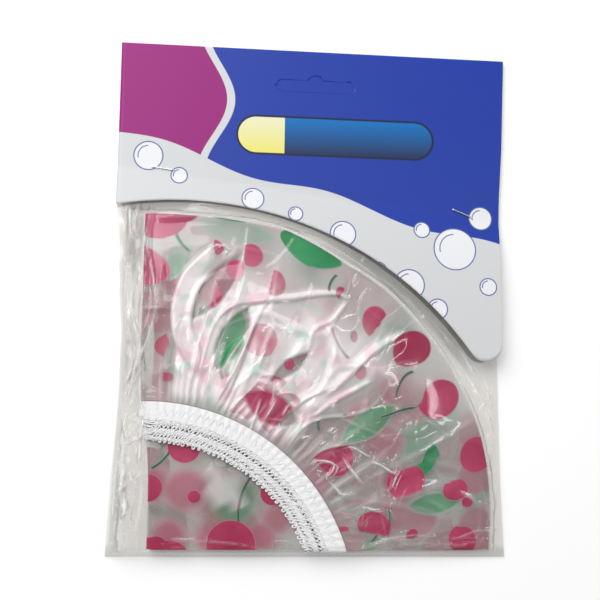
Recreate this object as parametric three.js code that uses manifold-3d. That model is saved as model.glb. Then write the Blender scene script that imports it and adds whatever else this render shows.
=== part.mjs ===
// Shower cap, folded into a quarter, in a clear bag under a stapled header card.
// Millimetres. The pack lies on its back: +X right, +Y to the card's fold, +Z out of the printed front.
import * as THREE from "three";
import { mergeVertices } from "three/addons/utils/BufferGeometryUtils.js";
import Module from "manifold-3d";

const wasm = await Module();
wasm.setup();

// Cap film, folded on two creases that meet at the apex
const capRadius = 139; // half the width of the cap laid flat
const leafWall = 0.2;
const leafGap = 0.2;
const sewnHem = 1; // free elastic past the film's sewn edge
const pleatCount = 12; // gathers in a quarter
const pleatHeight = 1.2;
const pleatRise = 3; // they reach full height this far from the elastic
const pleatRun = 50; // and run out this far from it
const hiddenSteps = 10; // facets along a quarter that lies inside

// Elastic, lace and seam thread round the opening
const ringRadius = 85.5; // outer edge of the elastic
const ringOffset = new THREE.Vector2(-2.4, -24.8); // ring centre, from the apex
const elasticWidth = 7.3;
const elasticWall = 0.6;
const laceWidth = 9;
const scallopCount = 20; // in a quarter
const scallopDepth = 1.6;
const eyeletRadius = 1.2;
const threadSize = 0.4;
const stitchCount = 24; // zigzags in a quarter
const stitchWidth = 3.2;

// Bag
const bagWall = 0.3;
const seamWidth = 2.5;
const emptyStrip = 16; // free bag left of the cap
const rightRoom = 5; // free bag right of the cap
const bottomRoom = 3.7; // pack's bottom edge to the apex
const capTravel = 6; // how far the loose cap slides left
const shoulderRun = 9; // film falls from the cap's arc to the flat over this length
const sideRun = 3.5; // the same beside the cap
const ringStep = 0.4; // least width of a band of the loft
const trimMargin = 2; // the film stays at full height this far past the elastic
const foldRise = 6; // its folds reach full height this far past the elastic
const foldRun = 14; // and run out over this length before the cap's arc

// Main folds of the front film, over the cap's gathers. Places are from the apex.
const filmFolds = [
  { line: [[20, 88], [40, 108]], height: 1.8, halfWidth: 36 }, // fullness where most film is bunched
  { line: [[13, 74], [16, 84]], height: 2, halfWidth: 12 },
  { line: [[4, 78], [10, 110], [20, 124]], height: 1.6, halfWidth: 9 },
  { line: [[36, 72], [34, 84], [44, 102]], height: 1, halfWidth: 10 },
  { line: [[28, 96], [64, 106], [78, 101]], height: 1.3, halfWidth: 10 },
  { line: [[40, 58], [58, 52]], height: 1.1, halfWidth: 10 },
  { line: [[56, 68], [74, 60], [92, 66], [104, 82]], height: 1.3, halfWidth: 12 },
  { line: [[62, 46], [80, 44]], height: 1.1, halfWidth: 10 },
  { line: [[82, 54], [96, 62]], height: 1, halfWidth: 9 },
  { line: [[104, 52], [120, 66]], height: 0.6, halfWidth: 9 },
  { line: [[96, 20], [128, 29]], height: 1.1, halfWidth: 9 },
];

// Header card
const cardWall = 0.4;
const headerRise = 70.5; // cap's arc to the card's fold
const arcMargin = 8.6; // die-cut arc's radius over the cap's
const arcOffset = new THREE.Vector2(10.6, -5.5); // arc centre, from the apex
const lobeStart = THREE.MathUtils.degToRad(36); // where the arc turns into the lobe
const lobeWidth = 18;
const lobeDrop = 4;
const lobeCorner = 8;
const panelLift = 7; // front panel's rise over the full bag
const panelRun = 22; // length over which it rises
const clampMargin = 2; // flat card below the staples

// Hang slot
const slotWidth = 33;
const slotHeight = 5;
const slotBump = 3.4; // radius of the bump in the middle
const slotDrop = 15.7; // below the card's fold
const mouthMargin = 5; // bag's mouth below the slot

// Staples
const stapleWidth = 9.4;
const stapleWire = 0.5;
const stapleLeg = 3.8; // clinched length of a leg
const stapleInset = 18.5; // from the pack's side
const leftStapleDrop = 53.8; // below the card's fold
const rightStapleDrop = 68.6;
const leftStapleTilt = THREE.MathUtils.degToRad(-7);
const rightStapleTilt = THREE.MathUtils.degToRad(-21);

// Clearance between neighbours
const seat = 0.3;

// Overall size and the apex, worked out from the above
const packWidth = 2 * seamWidth + emptyStrip + capRadius + rightRoom;
const packHeight = bottomRoom + capRadius + headerRise;
const halfWidth = packWidth / 2;
const halfHeight = packHeight / 2;
const apex = new THREE.Vector2(-halfWidth + seamWidth + emptyStrip, -halfHeight + bottomRoom);

// Levels of the flat films and of the cap
const backFlange = cardWall + seat;
const frontFlange = backFlange + bagWall + seat;
const panelFloor = frontFlange + bagWall + seat;
const capFloor = bagWall + seat;

// The film goes once round its four quarters, which lie on each other from the back to the front.
// Counted from the back, the eight leaves are skirt, crown, crown, skirt, skirt, crown, crown, skirt.
// An elastic lies under leaf 0, two lie between leaves 3 and 4, and one lies over leaf 7.
const quarterLeaves = [
  { skirt: 0, crown: 1 },
  { skirt: 3, crown: 2 },
  { skirt: 4, crown: 5 },
  { skirt: 7, crown: 6 },
];
const topLeaf = 7;
const leafPitch = leafWall + leafGap;
const outerTrim = threadSize + seat + elasticWall + seat;
const innerTrim = 2 * elasticWall + 3 * seat - leafGap;

const leafLift = (leaf) => outerTrim + (leaf > 3 ? innerTrim : 0);
const leafLevel = (leaf, share) => leaf * leafPitch + share * leafLift(leaf);
const elasticLevels = [
  threadSize + seat,
  leafLevel(3, 1) + leafWall + seat,
  leafLevel(3, 1) + leafWall + 2 * seat + elasticWall,
  leafLevel(topLeaf, 1) + leafWall + seat,
];
const stackHeight = elasticLevels[3] + elasticWall + seat + threadSize;

// How far each fold stands out past its crease, from the innermost turn to the outermost.
// The bottom crease joins quarters 0 and 1, and 2 and 3. The left one joins 1 and 2, and 3 and 0.
const crownTurn = leafWall;
const skirtTurn = crownTurn + leafPitch;
const elasticTurn = skirtTurn + seat + elasticWall;
const innerElasticWrap = elasticWall;
const innerSkirtWrap = innerElasticWrap + seat + leafWall;
const innerCrownWrap = innerSkirtWrap + leafPitch;
const outerCrownWrap = innerCrownWrap + leafPitch;
const outerSkirtWrap = outerCrownWrap + leafPitch;
const outerElasticWrap = outerSkirtWrap + seat + elasticWall;

// Solids

function toSolid(geometry) {
  const bare = new THREE.BufferGeometry();
  bare.setAttribute("position", geometry.getAttribute("position"));
  bare.setIndex(geometry.index);
  const welded = mergeVertices(bare, 1e-4);
  const index = welded.index.array;
  const triVerts = [];
  for (let i = 0; i < index.length; i += 3) {
    const [a, b, c] = index.slice(i, i + 3);
    if (a !== b && b !== c && c !== a) triVerts.push(a, b, c);
  }
  const vertProperties = Float32Array.from(welded.getAttribute("position").array);
  return new wasm.Manifold(
    new wasm.Mesh({ numProp: 3, vertProperties, triVerts: Uint32Array.from(triVerts) })
  );
}

function toGeometry(solid) {
  const mesh = solid.getMesh();
  const geometry = new THREE.BufferGeometry();
  geometry.setAttribute("position", new THREE.BufferAttribute(mesh.vertProperties, 3));
  geometry.setIndex(new THREE.BufferAttribute(mesh.triVerts, 1));
  geometry.computeVertexNormals();
  return geometry;
}

const join = (solids) => solids.reduce((sum, solid) => sum.add(solid));
const cut = (solid, tools) => tools.reduce((rest, tool) => rest.subtract(tool), solid);

// A sheet with two skins. place(column, row, side) gives a point of the lower (0) or upper (1) skin.
// Columns run clockwise round the rows. A ring's last column is its first one again.
function sheet(columns, rows, place, ring = false) {
  const points = [];
  for (const side of [0, 1]) {
    for (let c = 0; c < columns; c++) {
      for (let r = 0; r < rows; r++) points.push(...place(c, r, side).toArray());
    }
  }
  const at = (c, r, side) => (side * columns + c) * rows + r;
  const index = [];
  const quad = (a, b, c, d) => index.push(a, b, c, a, c, d);
  for (let c = 0; c + 1 < columns; c++) {
    for (let r = 0; r + 1 < rows; r++) {
      quad(at(c, r, 1), at(c + 1, r, 1), at(c + 1, r + 1, 1), at(c, r + 1, 1));
      quad(at(c, r, 0), at(c, r + 1, 0), at(c + 1, r + 1, 0), at(c + 1, r, 0));
    }
    quad(at(c, 0, 0), at(c + 1, 0, 0), at(c + 1, 0, 1), at(c, 0, 1));
    quad(at(c, rows - 1, 0), at(c, rows - 1, 1), at(c + 1, rows - 1, 1), at(c + 1, rows - 1, 0));
  }
  for (let r = 0; r + 1 < rows && !ring; r++) {
    const last = columns - 1;
    quad(at(0, r, 0), at(0, r, 1), at(0, r + 1, 1), at(0, r + 1, 0));
    quad(at(last, r, 0), at(last, r + 1, 0), at(last, r + 1, 1), at(last, r, 1));
  }
  const geometry = new THREE.BufferGeometry();
  geometry.setAttribute("position", new THREE.Float32BufferAttribute(points, 3));
  geometry.setIndex(index);
  return toSolid(geometry);
}

function prism(shape, floor, height, curveSegments = 8) {
  const geometry = new THREE.ExtrudeGeometry(shape, { depth: height, bevelEnabled: false, curveSegments });
  return toSolid(geometry.translate(0, 0, floor));
}

// Folding

const quarterTurn = Math.PI / 2;
const isOuter = (quarter) => quarter === 0 || quarter === 3;

// Columns of a sheet that goes round the four quarters, to and fro between the creases. A column has
// its share of the way from the left crease (0) to the bottom one (1), and the crease it stands past.
function foldedColumns(stepsOf) {
  const columns = [];
  for (let quarter = 0; quarter < 4; quarter++) {
    const steps = stepsOf(quarter);
    const run = [{ quarter, share: 0, past: "left" }];
    for (let i = 0; i <= steps; i++) run.push({ quarter, share: i / steps });
    run.push({ quarter, share: 1, past: "bottom" });
    columns.push(...(quarter % 2 ? run.reverse() : run));
  }
  return [...columns, columns[0]];
}

// Moves a point of a flat leaf out past its crease, where the fold stands
function pastCrease(point, column, reach) {
  if (column.past === "left") point.x = -reach;
  if (column.past === "bottom") point.y = -reach;
  return point;
}

// Cap film

// Distance from the apex to a circle round the ring's centre
function ringReach(angle, radius) {
  const along = ringOffset.x * Math.cos(angle) + ringOffset.y * Math.sin(angle);
  return along + Math.sqrt(along ** 2 - ringOffset.lengthSq() + radius ** 2);
}

// Share of the trim's thickness that a leaf still carries at a radius
function trimShare(angle, radius) {
  const ring = ringReach(angle, ringRadius);
  return THREE.MathUtils.clamp((capRadius - radius) / (capRadius - ring), 0, 1);
}

// Gathers rise just outside the elastic and run out towards the arc
function pleat(angle, radius) {
  const past = radius - ringReach(angle, ringRadius);
  if (past <= 0 || past >= pleatRun) return 0;
  const wave = 0.5 - 0.5 * Math.cos(4 * pleatCount * angle);
  return pleatHeight * wave * Math.min(1, past / pleatRise) * (1 - past / pleatRun);
}

// Radii from the apex over the crown to the arc, and back over the skirt to the sewn hem
const crownRows = 3;
function filmRadii(angle) {
  const ring = ringReach(angle, ringRadius);
  const hem = ringReach(angle, ringRadius - elasticWidth + sewnHem);
  return [0, ring, capRadius, capRadius, ring + pleatRun, ring + pleatRise, ring, hem];
}

// How far a fold of the film stands out, and whether the film's outside faces out there
function filmFold(column, onCrown) {
  if (column.past === "bottom") return onCrown ? [crownTurn, false] : [skirtTurn, true];
  if (isOuter(column.quarter)) return onCrown ? [outerCrownWrap, false] : [outerSkirtWrap, true];
  return onCrown ? [innerCrownWrap, true] : [innerSkirtWrap, false];
}

// A point on the film's inside (side 0) or outside (side 1)
function filmPoint(column, row, side) {
  const onCrown = row < crownRows;
  const leaf = quarterLeaves[column.quarter][onCrown ? "crown" : "skirt"];
  const outsideUp = onCrown === (column.quarter % 2 === 0);
  const angle = quarterTurn * (1 - column.share);
  const radius = filmRadii(angle)[row];
  const skin = radius === capRadius && side === 0 ? radius - leafWall : radius;
  const gathers = isOuter(column.quarter) && !onCrown ? pleat(angle, radius) : 0;
  const level = leafLevel(leaf, trimShare(angle, radius)) + (outsideUp ? gathers : -gathers);
  const z = level + (outsideUp === (side === 1) ? leafWall : 0);
  const [reach, outsideOut] = filmFold(column, onCrown);
  const point = new THREE.Vector3(skin * Math.cos(angle), skin * Math.sin(angle), z);
  return pastCrease(point, column, outsideOut === (side === 1) ? reach : reach - leafWall);
}

function capFilm() {
  const columns = foldedColumns((quarter) => (isOuter(quarter) ? 2 * pleatCount : hiddenSteps));
  const rows = filmRadii(0).length;
  return sheet(columns.length, rows, (c, r, side) => filmPoint(columns[c], r, side), true);
}

// Elastic, lace and thread

// A point on a circle round the ring's centre, at a share of the way from the left to the bottom crease
function ringPoint(share, radius) {
  const start = Math.acos(-ringOffset.x / radius);
  const end = Math.asin(-ringOffset.y / radius);
  const angle = THREE.MathUtils.lerp(start, end, share);
  return new THREE.Vector2(Math.cos(angle), Math.sin(angle)).multiplyScalar(radius).add(ringOffset);
}

// A tape sewn round the ring and folded with it. innerAt(share) is the radius of its inner edge.
function foldedTape(outer, innerAt, stepsOf) {
  const columns = foldedColumns(stepsOf);
  return sheet(columns.length, 2, (c, r, side) => {
    const column = columns[c];
    const { x, y } = ringPoint(column.share, r ? outer : innerAt(column.share));
    const sideUp = (column.quarter % 2 === 0) === (side === 1);
    const z = elasticLevels[column.quarter] + (sideUp ? elasticWall : 0);
    const leftWrap = isOuter(column.quarter) ? outerElasticWrap : innerElasticWrap;
    const reach = column.past === "left" ? leftWrap : elasticTurn;
    const sideOut = (column.past === "left" && !isOuter(column.quarter)) === (side === 1);
    return pastCrease(new THREE.Vector3(x, y, z), column, sideOut ? reach : reach - elasticWall);
  }, true);
}

function elasticBand() {
  const inner = ringRadius - elasticWidth;
  return foldedTape(ringRadius, () => inner, (quarter) => (isOuter(quarter) ? 2 * pleatCount : hiddenSteps));
}

// Scallops run along the lace's inner edge, with an eyelet over each one on the quarters that show
function laceEdging() {
  const outer = ringRadius - elasticWidth - seat;
  const inner = outer - laceWidth;
  const edge = (share) => inner + scallopDepth * Math.abs(Math.cos(Math.PI * scallopCount * share));
  const tape = foldedTape(outer, edge, (quarter) => (isOuter(quarter) ? 4 : 2) * scallopCount);
  const eyelets = [];
  for (const level of [elasticLevels[0], elasticLevels[3]]) {
    for (let i = 0; i < scallopCount; i++) {
      const centre = ringPoint((i + 0.5) / scallopCount, (outer + inner) / 2);
      const hole = new THREE.CylinderGeometry(eyeletRadius, eyeletRadius, 3 * elasticWall, 6);
      eyelets.push(toSolid(hole.rotateX(quarterTurn).translate(centre.x, centre.y, level)));
    }
  }
  return cut(tape, eyelets);
}

// One zigzag of thread along the middle of the elastic
function stitching() {
  const middle = ringRadius - elasticWidth / 2;
  const marginShare = 0.02;
  const corner = (i, side) => {
    const share = THREE.MathUtils.lerp(marginShare, 1 - marginShare, i / (2 * stitchCount));
    const sway = (i % 2 ? 0.5 : -0.5) * stitchWidth;
    return ringPoint(share, middle + sway + side * threadSize);
  };
  const outline = [];
  for (let i = 0; i <= 2 * stitchCount; i++) outline.push(corner(i, 0.5));
  for (let i = 2 * stitchCount; i >= 0; i--) outline.push(corner(i, -0.5));
  return prism(new THREE.Shape(outline), 0, threadSize);
}

// Bag

const filmRoom = 2 * seat; // round the cap, for the loft's flat facets
const mouth = halfHeight - slotDrop - slotHeight / 2 - mouthMargin;
const filmOutline = {
  left: -halfWidth + seamWidth + seat,
  right: halfWidth - seamWidth - seat,
  bottom: -halfHeight + bagWall + seat,
  top: mouth,
  centre: apex,
  radius: 2 * packHeight,
};

// Outline of the room that the cap needs in the bag, travel included, grown by a margin
const capRoom = (margin) => ({
  left: apex.x - outerElasticWrap - capTravel - margin,
  right: halfWidth,
  bottom: apex.y - elasticTurn - margin,
  top: halfHeight,
  centre: apex,
  radius: capRadius + margin,
});

const loftCentre = new THREE.Vector2(apex.x + 0.2 * capRadius, apex.y + 0.2 * capRadius);

// Where a ray from the loft's centre leaves a convex outline of four sides and an arc
function rayReach(angle, outline) {
  const ray = new THREE.Vector2(Math.cos(angle), Math.sin(angle));
  const from = loftCentre.clone().sub(outline.centre);
  const along = from.dot(ray);
  const toArc = -along + Math.sqrt(along ** 2 - from.lengthSq() + outline.radius ** 2);
  const toSide = ray.x >= 0 ? (outline.right - loftCentre.x) / ray.x : (outline.left - loftCentre.x) / ray.x;
  const toEnd = ray.y >= 0 ? (outline.top - loftCentre.y) / ray.y : (outline.bottom - loftCentre.y) / ray.y;
  return Math.min(toArc, toSide, toEnd);
}

// Angles of an even fan of rays and of every corner that the outlines have
function loftAngles(rays) {
  const room = capRoom(filmRoom);
  const arcAt = (offset) => Math.sqrt(room.radius ** 2 - offset ** 2);
  const corners = [
    [filmOutline.left, filmOutline.bottom],
    [filmOutline.right, filmOutline.bottom],
    [filmOutline.right, filmOutline.top],
    [filmOutline.left, filmOutline.top],
    [room.left, room.bottom],
    [room.left, apex.y + arcAt(room.left - apex.x)],
    [apex.x + arcAt(room.bottom - apex.y), room.bottom],
  ];
  const turn = (angle) => THREE.MathUtils.euclideanModulo(angle, 2 * Math.PI);
  const angles = corners.map(([x, y]) => turn(Math.atan2(y - loftCentre.y, x - loftCentre.x)));
  const tooNear = Math.PI / rays / 2;
  for (let i = 0; i < rays; i++) {
    const angle = (2 * Math.PI * i) / rays;
    if (angles.every((other) => Math.abs(other - angle) > tooNear)) angles.push(angle);
  }
  angles.sort((a, b) => b - a);
  return [...angles, angles[0]];
}

// A film lofted through rings round the cap: rings(side) lists [reach at an angle, height at a point]
function loftedFilm(rays, rings) {
  const angles = loftAngles(rays);
  const skins = [rings(0), rings(1)];
  return sheet(angles.length, skins[0].length + 1, (c, r, side) => {
    if (r === 0) return new THREE.Vector3(loftCentre.x, loftCentre.y, skins[side][0][1](loftCentre));
    const [reachAt, height] = skins[side][r - 1];
    const edge = rayReach(angles[c], filmOutline) - ringStep * (skins[side].length - r);
    const reach = Math.min(reachAt(angles[c]), edge);
    const x = loftCentre.x + reach * Math.cos(angles[c]);
    const y = loftCentre.y + reach * Math.sin(angles[c]);
    return new THREE.Vector3(x, y, height(new THREE.Vector2(x, y)));
  }, true);
}

const reachTo = (outline) => (angle) => rayReach(angle, outline);

// Height that the cap needs under the front film: full over the trim, thin at the arc
function capHeight(point) {
  const x = Math.max(0, point.x - apex.x);
  const y = Math.max(0, point.y - apex.y);
  const full = ringReach(Math.atan2(y, x), ringRadius) + trimMargin;
  const share = THREE.MathUtils.clamp((capRadius - Math.hypot(x, y)) / (capRadius - full), 0, 1);
  const thin = leafLevel(topLeaf, 0) + leafWall;
  return capFloor + seat + THREE.MathUtils.lerp(thin, stackHeight, share);
}

// How far the front film's main folds stand up at a point
function foldHeight(point) {
  const place = new THREE.Vector3(point.x - apex.x, point.y - apex.y, 0);
  const pastRing = Math.hypot(place.x - ringOffset.x, place.y - ringOffset.y) - ringRadius;
  const risen = THREE.MathUtils.clamp(pastRing / foldRise, 0, 1);
  const left = THREE.MathUtils.clamp((capRadius - place.length()) / foldRun, 0, 1);
  const nearest = new THREE.Vector3();
  return filmFolds.reduce((sum, { line, height, halfWidth }) => {
    const corners = line.map(([x, y]) => new THREE.Vector3(x, y, 0));
    const distances = corners.slice(1).map((corner, i) => {
      new THREE.Line3(corners[i], corner).closestPointToPoint(place, true, nearest);
      return nearest.distanceTo(place);
    });
    const across = Math.min(1, Math.min(...distances) / halfWidth);
    return sum + height * risen * left * (0.5 + 0.5 * Math.cos(Math.PI * across));
  }, 0);
}

// The front film lies over the trim, then in bands over the gathered skirt, and falls to the flat round the cap
function frontFilm() {
  const rays = 72;
  const bands = 9;
  const bandWidth = 1.5; // least width of such a band beside the cap
  const film = loftedFilm(rays, (side) => {
    const wall = side * bagWall;
    const flat = () => frontFlange + wall;
    const over = (point) => capHeight(point) + foldHeight(point) + wall;
    const room = reachTo(capRoom(filmRoom + wall));
    const trim = reachTo({ ...capRoom(0), centre: apex.clone().add(ringOffset), radius: ringRadius + trimMargin });
    const start = (angle) => Math.min(trim(angle), room(angle) - bands * bandWidth);
    const skirt = Array.from({ length: bands + 1 }, (_, i) => [
      (angle) => THREE.MathUtils.lerp(start(angle), room(angle), i / bands),
      over,
    ]);
    const foot = capRoom(filmRoom + wall + sideRun);
    foot.radius = capRadius + filmRoom + wall + shoulderRun;
    return [...skirt, [reachTo(foot), flat], [reachTo(filmOutline), flat]];
  });
  return cut(film, staples.flatMap((staple) => staple.legHoles()));
}

function backFilm() {
  const rays = 40;
  const film = loftedFilm(rays, (side) => {
    const wall = side * bagWall;
    const flat = () => backFlange + wall;
    const resting = () => wall;
    const foot = capRoom(seat + sideRun / 2);
    return [[reachTo(capRoom(seat)), resting], [reachTo(foot), flat], [reachTo(filmOutline), flat]];
  });
  return cut(film, staples.flatMap((staple) => staple.legHoles()));
}

const sealHeight = frontFlange + bagWall - backFlange;

function sideSeam() {
  const length = mouth + halfHeight;
  const strip = new THREE.BoxGeometry(seamWidth, length, sealHeight);
  return strip.translate(0, length / 2 - halfHeight, backFlange + sealHeight / 2);
}

// The film turns round in a U along the bottom edge
function bottomFold() {
  const outer = sealHeight / 2;
  const turn = new THREE.Shape();
  turn.absarc(0, 0, outer, quarterTurn, 3 * quarterTurn, false);
  turn.absarc(0, 0, outer - bagWall, 3 * quarterTurn, quarterTurn, true);
  return alongX(turn, packWidth - 2 * (seamWidth + seat), -halfHeight + outer, backFlange + outer);
}

// A profile in Y and Z, extruded along X about the middle of the pack
function alongX(shape, length, y, z) {
  const axes = new THREE.Matrix4().makeBasis(
    new THREE.Vector3(0, 1, 0), new THREE.Vector3(0, 0, 1), new THREE.Vector3(1, 0, 0)
  );
  const bar = new THREE.ExtrudeGeometry(shape, { depth: length, bevelEnabled: false, curveSegments: 10 });
  return bar.applyMatrix4(axes).translate(-length / 2, y, z);
}

// Staples

function makeStaple(x, drop, tilt) {
  const y = halfHeight - drop;
  const place = new THREE.Matrix4().makeRotationZ(tilt).setPosition(x, y, 0);
  const box = (width, depth, height, along, z) =>
    toSolid(new THREE.BoxGeometry(width, depth, height).translate(along, 0, z).applyMatrix4(place));
  const span = stapleWidth - stapleWire;
  const hole = stapleWire + 2 * seat;
  const tall = 4 * panelFloor;
  return {
    x,
    y,
    legHoles: () => [-span / 2, span / 2].map((along) => box(hole, hole, tall, along, panelFloor)),
    clinchSlot: () => box(stapleWidth + 2 * seat, hole, 2 * cardWall, 0, cardWall / 2),
    geometry() {
      const outer = stapleWidth / 2;
      const inner = outer - stapleWire;
      const top = panelFloor + cardWall + seat + stapleWire;
      const wire = new THREE.Shape();
      wire.moveTo(-outer, 0);
      wire.lineTo(-outer + stapleLeg, 0);
      wire.lineTo(-outer + stapleLeg, cardWall);
      wire.lineTo(-inner, cardWall);
      wire.lineTo(-inner, top - stapleWire);
      wire.lineTo(inner, top - stapleWire);
      wire.lineTo(inner, cardWall);
      wire.lineTo(outer - stapleLeg, cardWall);
      wire.lineTo(outer - stapleLeg, 0);
      wire.lineTo(outer, 0);
      wire.lineTo(outer, top - stapleWire);
      wire.quadraticCurveTo(outer, top, outer - stapleWire, top);
      wire.lineTo(-outer + stapleWire, top);
      wire.quadraticCurveTo(-outer, top, -outer, top - stapleWire);
      const bar = new THREE.ExtrudeGeometry(wire, { depth: stapleWire, bevelEnabled: false, curveSegments: 3 });
      return bar.translate(0, 0, -stapleWire / 2).rotateX(Math.PI / 2).applyMatrix4(place);
    },
  };
}

const leftStaple = makeStaple(-halfWidth + stapleInset, leftStapleDrop, leftStapleTilt);
const rightStaple = makeStaple(halfWidth - stapleInset, rightStapleDrop, rightStapleTilt);
const staples = [leftStaple, rightStaple];

// Header card

// Straight sides, a concave arc that follows the cap, and a rounded lobe at the right
function cardOutline() {
  const centre = apex.clone().add(arcOffset);
  const radius = capRadius + arcMargin;
  const leftStart = Math.acos((-halfWidth - centre.x) / radius);
  const lobe = new THREE.Vector2(Math.cos(lobeStart), Math.sin(lobeStart)).multiplyScalar(radius).add(centre);
  const lobeBottom = lobe.y - lobeDrop;
  const lobeMiddle = halfWidth - lobeWidth / 2;
  const lobeLead = lobeDrop * Math.tan(lobeStart);
  const outline = new THREE.Shape();
  outline.moveTo(halfWidth, halfHeight);
  outline.lineTo(-halfWidth, halfHeight);
  outline.absarc(centre.x, centre.y, radius, leftStart, lobeStart, true);
  outline.quadraticCurveTo(lobe.x + lobeLead, lobeBottom, lobeMiddle, lobeBottom);
  outline.quadraticCurveTo(halfWidth, lobeBottom, halfWidth, lobeBottom + lobeCorner);
  return outline;
}

// Hang slot with a bump over its middle, grown all round
function slotShape(grow) {
  const half = slotWidth / 2 + grow;
  const end = slotHeight / 2 + grow;
  const bump = slotBump + grow;
  const middle = halfHeight - slotDrop;
  const lean = Math.asin(0.4);
  const bumpHeight = end - bump * Math.sin(lean);
  const shape = new THREE.Shape();
  shape.absarc(half - end, middle, end, -quarterTurn, quarterTurn, false);
  shape.absarc(0, middle + bumpHeight, bump, lean, Math.PI - lean, false);
  shape.absarc(-half + end, middle, end, quarterTurn, 3 * quarterTurn, false);
  return shape;
}

// Height of the front panel's back, from the distance below the line through the staples
const panelHeight = (below) => panelFloor + panelLift * (1 - Math.exp(-Math.max(0, below) / panelRun));

function frontPanel(spineRadius) {
  const slope = (rightStaple.y - leftStaple.y) / (rightStaple.x - leftStaple.x);
  const lineAt = (x) => leftStaple.y + slope * (x - leftStaple.x) - clampMargin;
  const stations = [0, 3, 6, 10, 15, 21, 28, 38, 50, 70, 100];
  return sheet(2, stations.length + 1, (c, r, side) => {
    const x = c ? halfWidth : -halfWidth;
    const wall = side * cardWall;
    const row = stations.length - 1 - r;
    if (row < 0) return new THREE.Vector3(x, halfHeight - spineRadius, panelFloor + wall);
    return new THREE.Vector3(x, lineAt(x) - stations[row], panelHeight(stations[row]) + wall);
  });
}

function headerCard() {
  const spineRadius = (panelFloor + cardWall) / 2;
  const outline = cardOutline();
  const spine = new THREE.Shape();
  spine.absarc(0, 0, spineRadius, -quarterTurn, quarterTurn, false);
  spine.absarc(0, 0, spineRadius - cardWall, quarterTurn, -quarterTurn, true);
  const fold = toSolid(alongX(spine, packWidth, halfHeight - spineRadius, spineRadius));
  const beyondFold = new THREE.BoxGeometry(2 * packWidth, 2 * spineRadius, 4 * cardWall);
  const trim = toSolid(beyondFold.translate(0, halfHeight, 0));
  const backPanel = cut(prism(outline, 0, cardWall, 40), [trim]);
  const front = frontPanel(spineRadius).intersect(prism(outline, 0, 3 * (panelFloor + panelLift), 40));
  const slot = prism(slotShape(seat), -cardWall, 4 * panelFloor);
  const card = cut(join([backPanel, front, fold]), [slot, ...staples.map((staple) => staple.clinchSlot())]);
  return cut(card, staples.flatMap((staple) => staple.legHoles()));
}

const slotSlug = (floor) => prism(slotShape(0), floor, cardWall);

// Scene graph

const finish = (color, roughness, extra = {}) =>
  new THREE.MeshStandardMaterial({ color, roughness, metalness: 0, ...extra });
const milkyFilm = finish("#e6dcd9", 0.45, { transparent: true, opacity: 0.7 });
const clearFilm = finish("#f4f6f7", 0.15, { transparent: true, opacity: 0.3 });
const whiteTape = finish("#f2f2f0", 0.85);
const printedCard = finish("#2646a9", 0.4);
const steelWire = finish("#c3c6ca", 0.3, { metalness: 1 });

function piece(name, shape, material) {
  const geometry = shape.isBufferGeometry ? shape : toGeometry(shape);
  const mesh = new THREE.Mesh(geometry, material);
  mesh.name = name;
  return mesh;
}

const cap = new THREE.Group();
cap.position.set(apex.x, apex.y, capFloor);
const backStitches = piece("stitching_back", stitching(), whiteTape);
const frontStitches = piece("stitching_front", stitching(), whiteTape);
frontStitches.position.z = stackHeight - threadSize;
cap.add(
  piece("cap_film", capFilm(), milkyFilm),
  piece("elastic_band", elasticBand(), whiteTape),
  piece("lace_edging", laceEdging(), whiteTape),
  backStitches,
  frontStitches
);

const leftSeam = piece("bag_left_seam", sideSeam(), clearFilm);
leftSeam.position.x = -halfWidth + seamWidth / 2;
const rightSeam = piece("bag_right_seam", sideSeam(), clearFilm);
rightSeam.position.x = halfWidth - seamWidth / 2;
const bag = new THREE.Group();
bag.add(
  piece("bag_front_film", frontFilm(), clearFilm),
  piece("bag_back_film", backFilm(), clearFilm),
  leftSeam,
  rightSeam,
  piece("bag_bottom_fold", bottomFold(), clearFilm)
);

const header = new THREE.Group();
header.add(
  piece("header_card", headerCard(), printedCard),
  piece("hang_slug_front", slotSlug(panelFloor), printedCard),
  piece("hang_slug_back", slotSlug(0), printedCard),
  piece("staple_left", leftStaple.geometry(), steelWire),
  piece("staple_right", rightStaple.geometry(), steelWire)
);

const pack = new THREE.Group();
pack.name = "shower_cap_pack";
pack.add(cap, bag, header);

export default pack;
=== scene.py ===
"""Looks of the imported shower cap: printed film cap, lace elastic, clear bag and header card.

Lengths are millimetres in the part's frame, +Z out of the printed front, until a mesh is written in metres.
"""

import math

import bmesh
import bpy
import numpy as np
from mathutils import Matrix, Vector


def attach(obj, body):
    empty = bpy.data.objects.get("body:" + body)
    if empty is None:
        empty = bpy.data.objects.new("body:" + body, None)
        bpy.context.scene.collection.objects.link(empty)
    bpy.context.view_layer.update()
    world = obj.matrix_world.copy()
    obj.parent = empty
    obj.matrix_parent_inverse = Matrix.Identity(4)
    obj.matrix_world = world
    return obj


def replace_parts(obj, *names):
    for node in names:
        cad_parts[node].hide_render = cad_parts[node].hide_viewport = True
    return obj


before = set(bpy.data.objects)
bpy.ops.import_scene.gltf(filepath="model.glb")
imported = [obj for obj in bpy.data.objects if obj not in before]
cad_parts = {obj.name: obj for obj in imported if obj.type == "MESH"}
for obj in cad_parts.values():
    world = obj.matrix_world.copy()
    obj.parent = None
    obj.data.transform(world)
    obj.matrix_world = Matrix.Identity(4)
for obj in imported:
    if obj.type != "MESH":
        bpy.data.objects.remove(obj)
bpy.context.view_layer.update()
scene = bpy.context.scene
MM = 0.001

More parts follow.
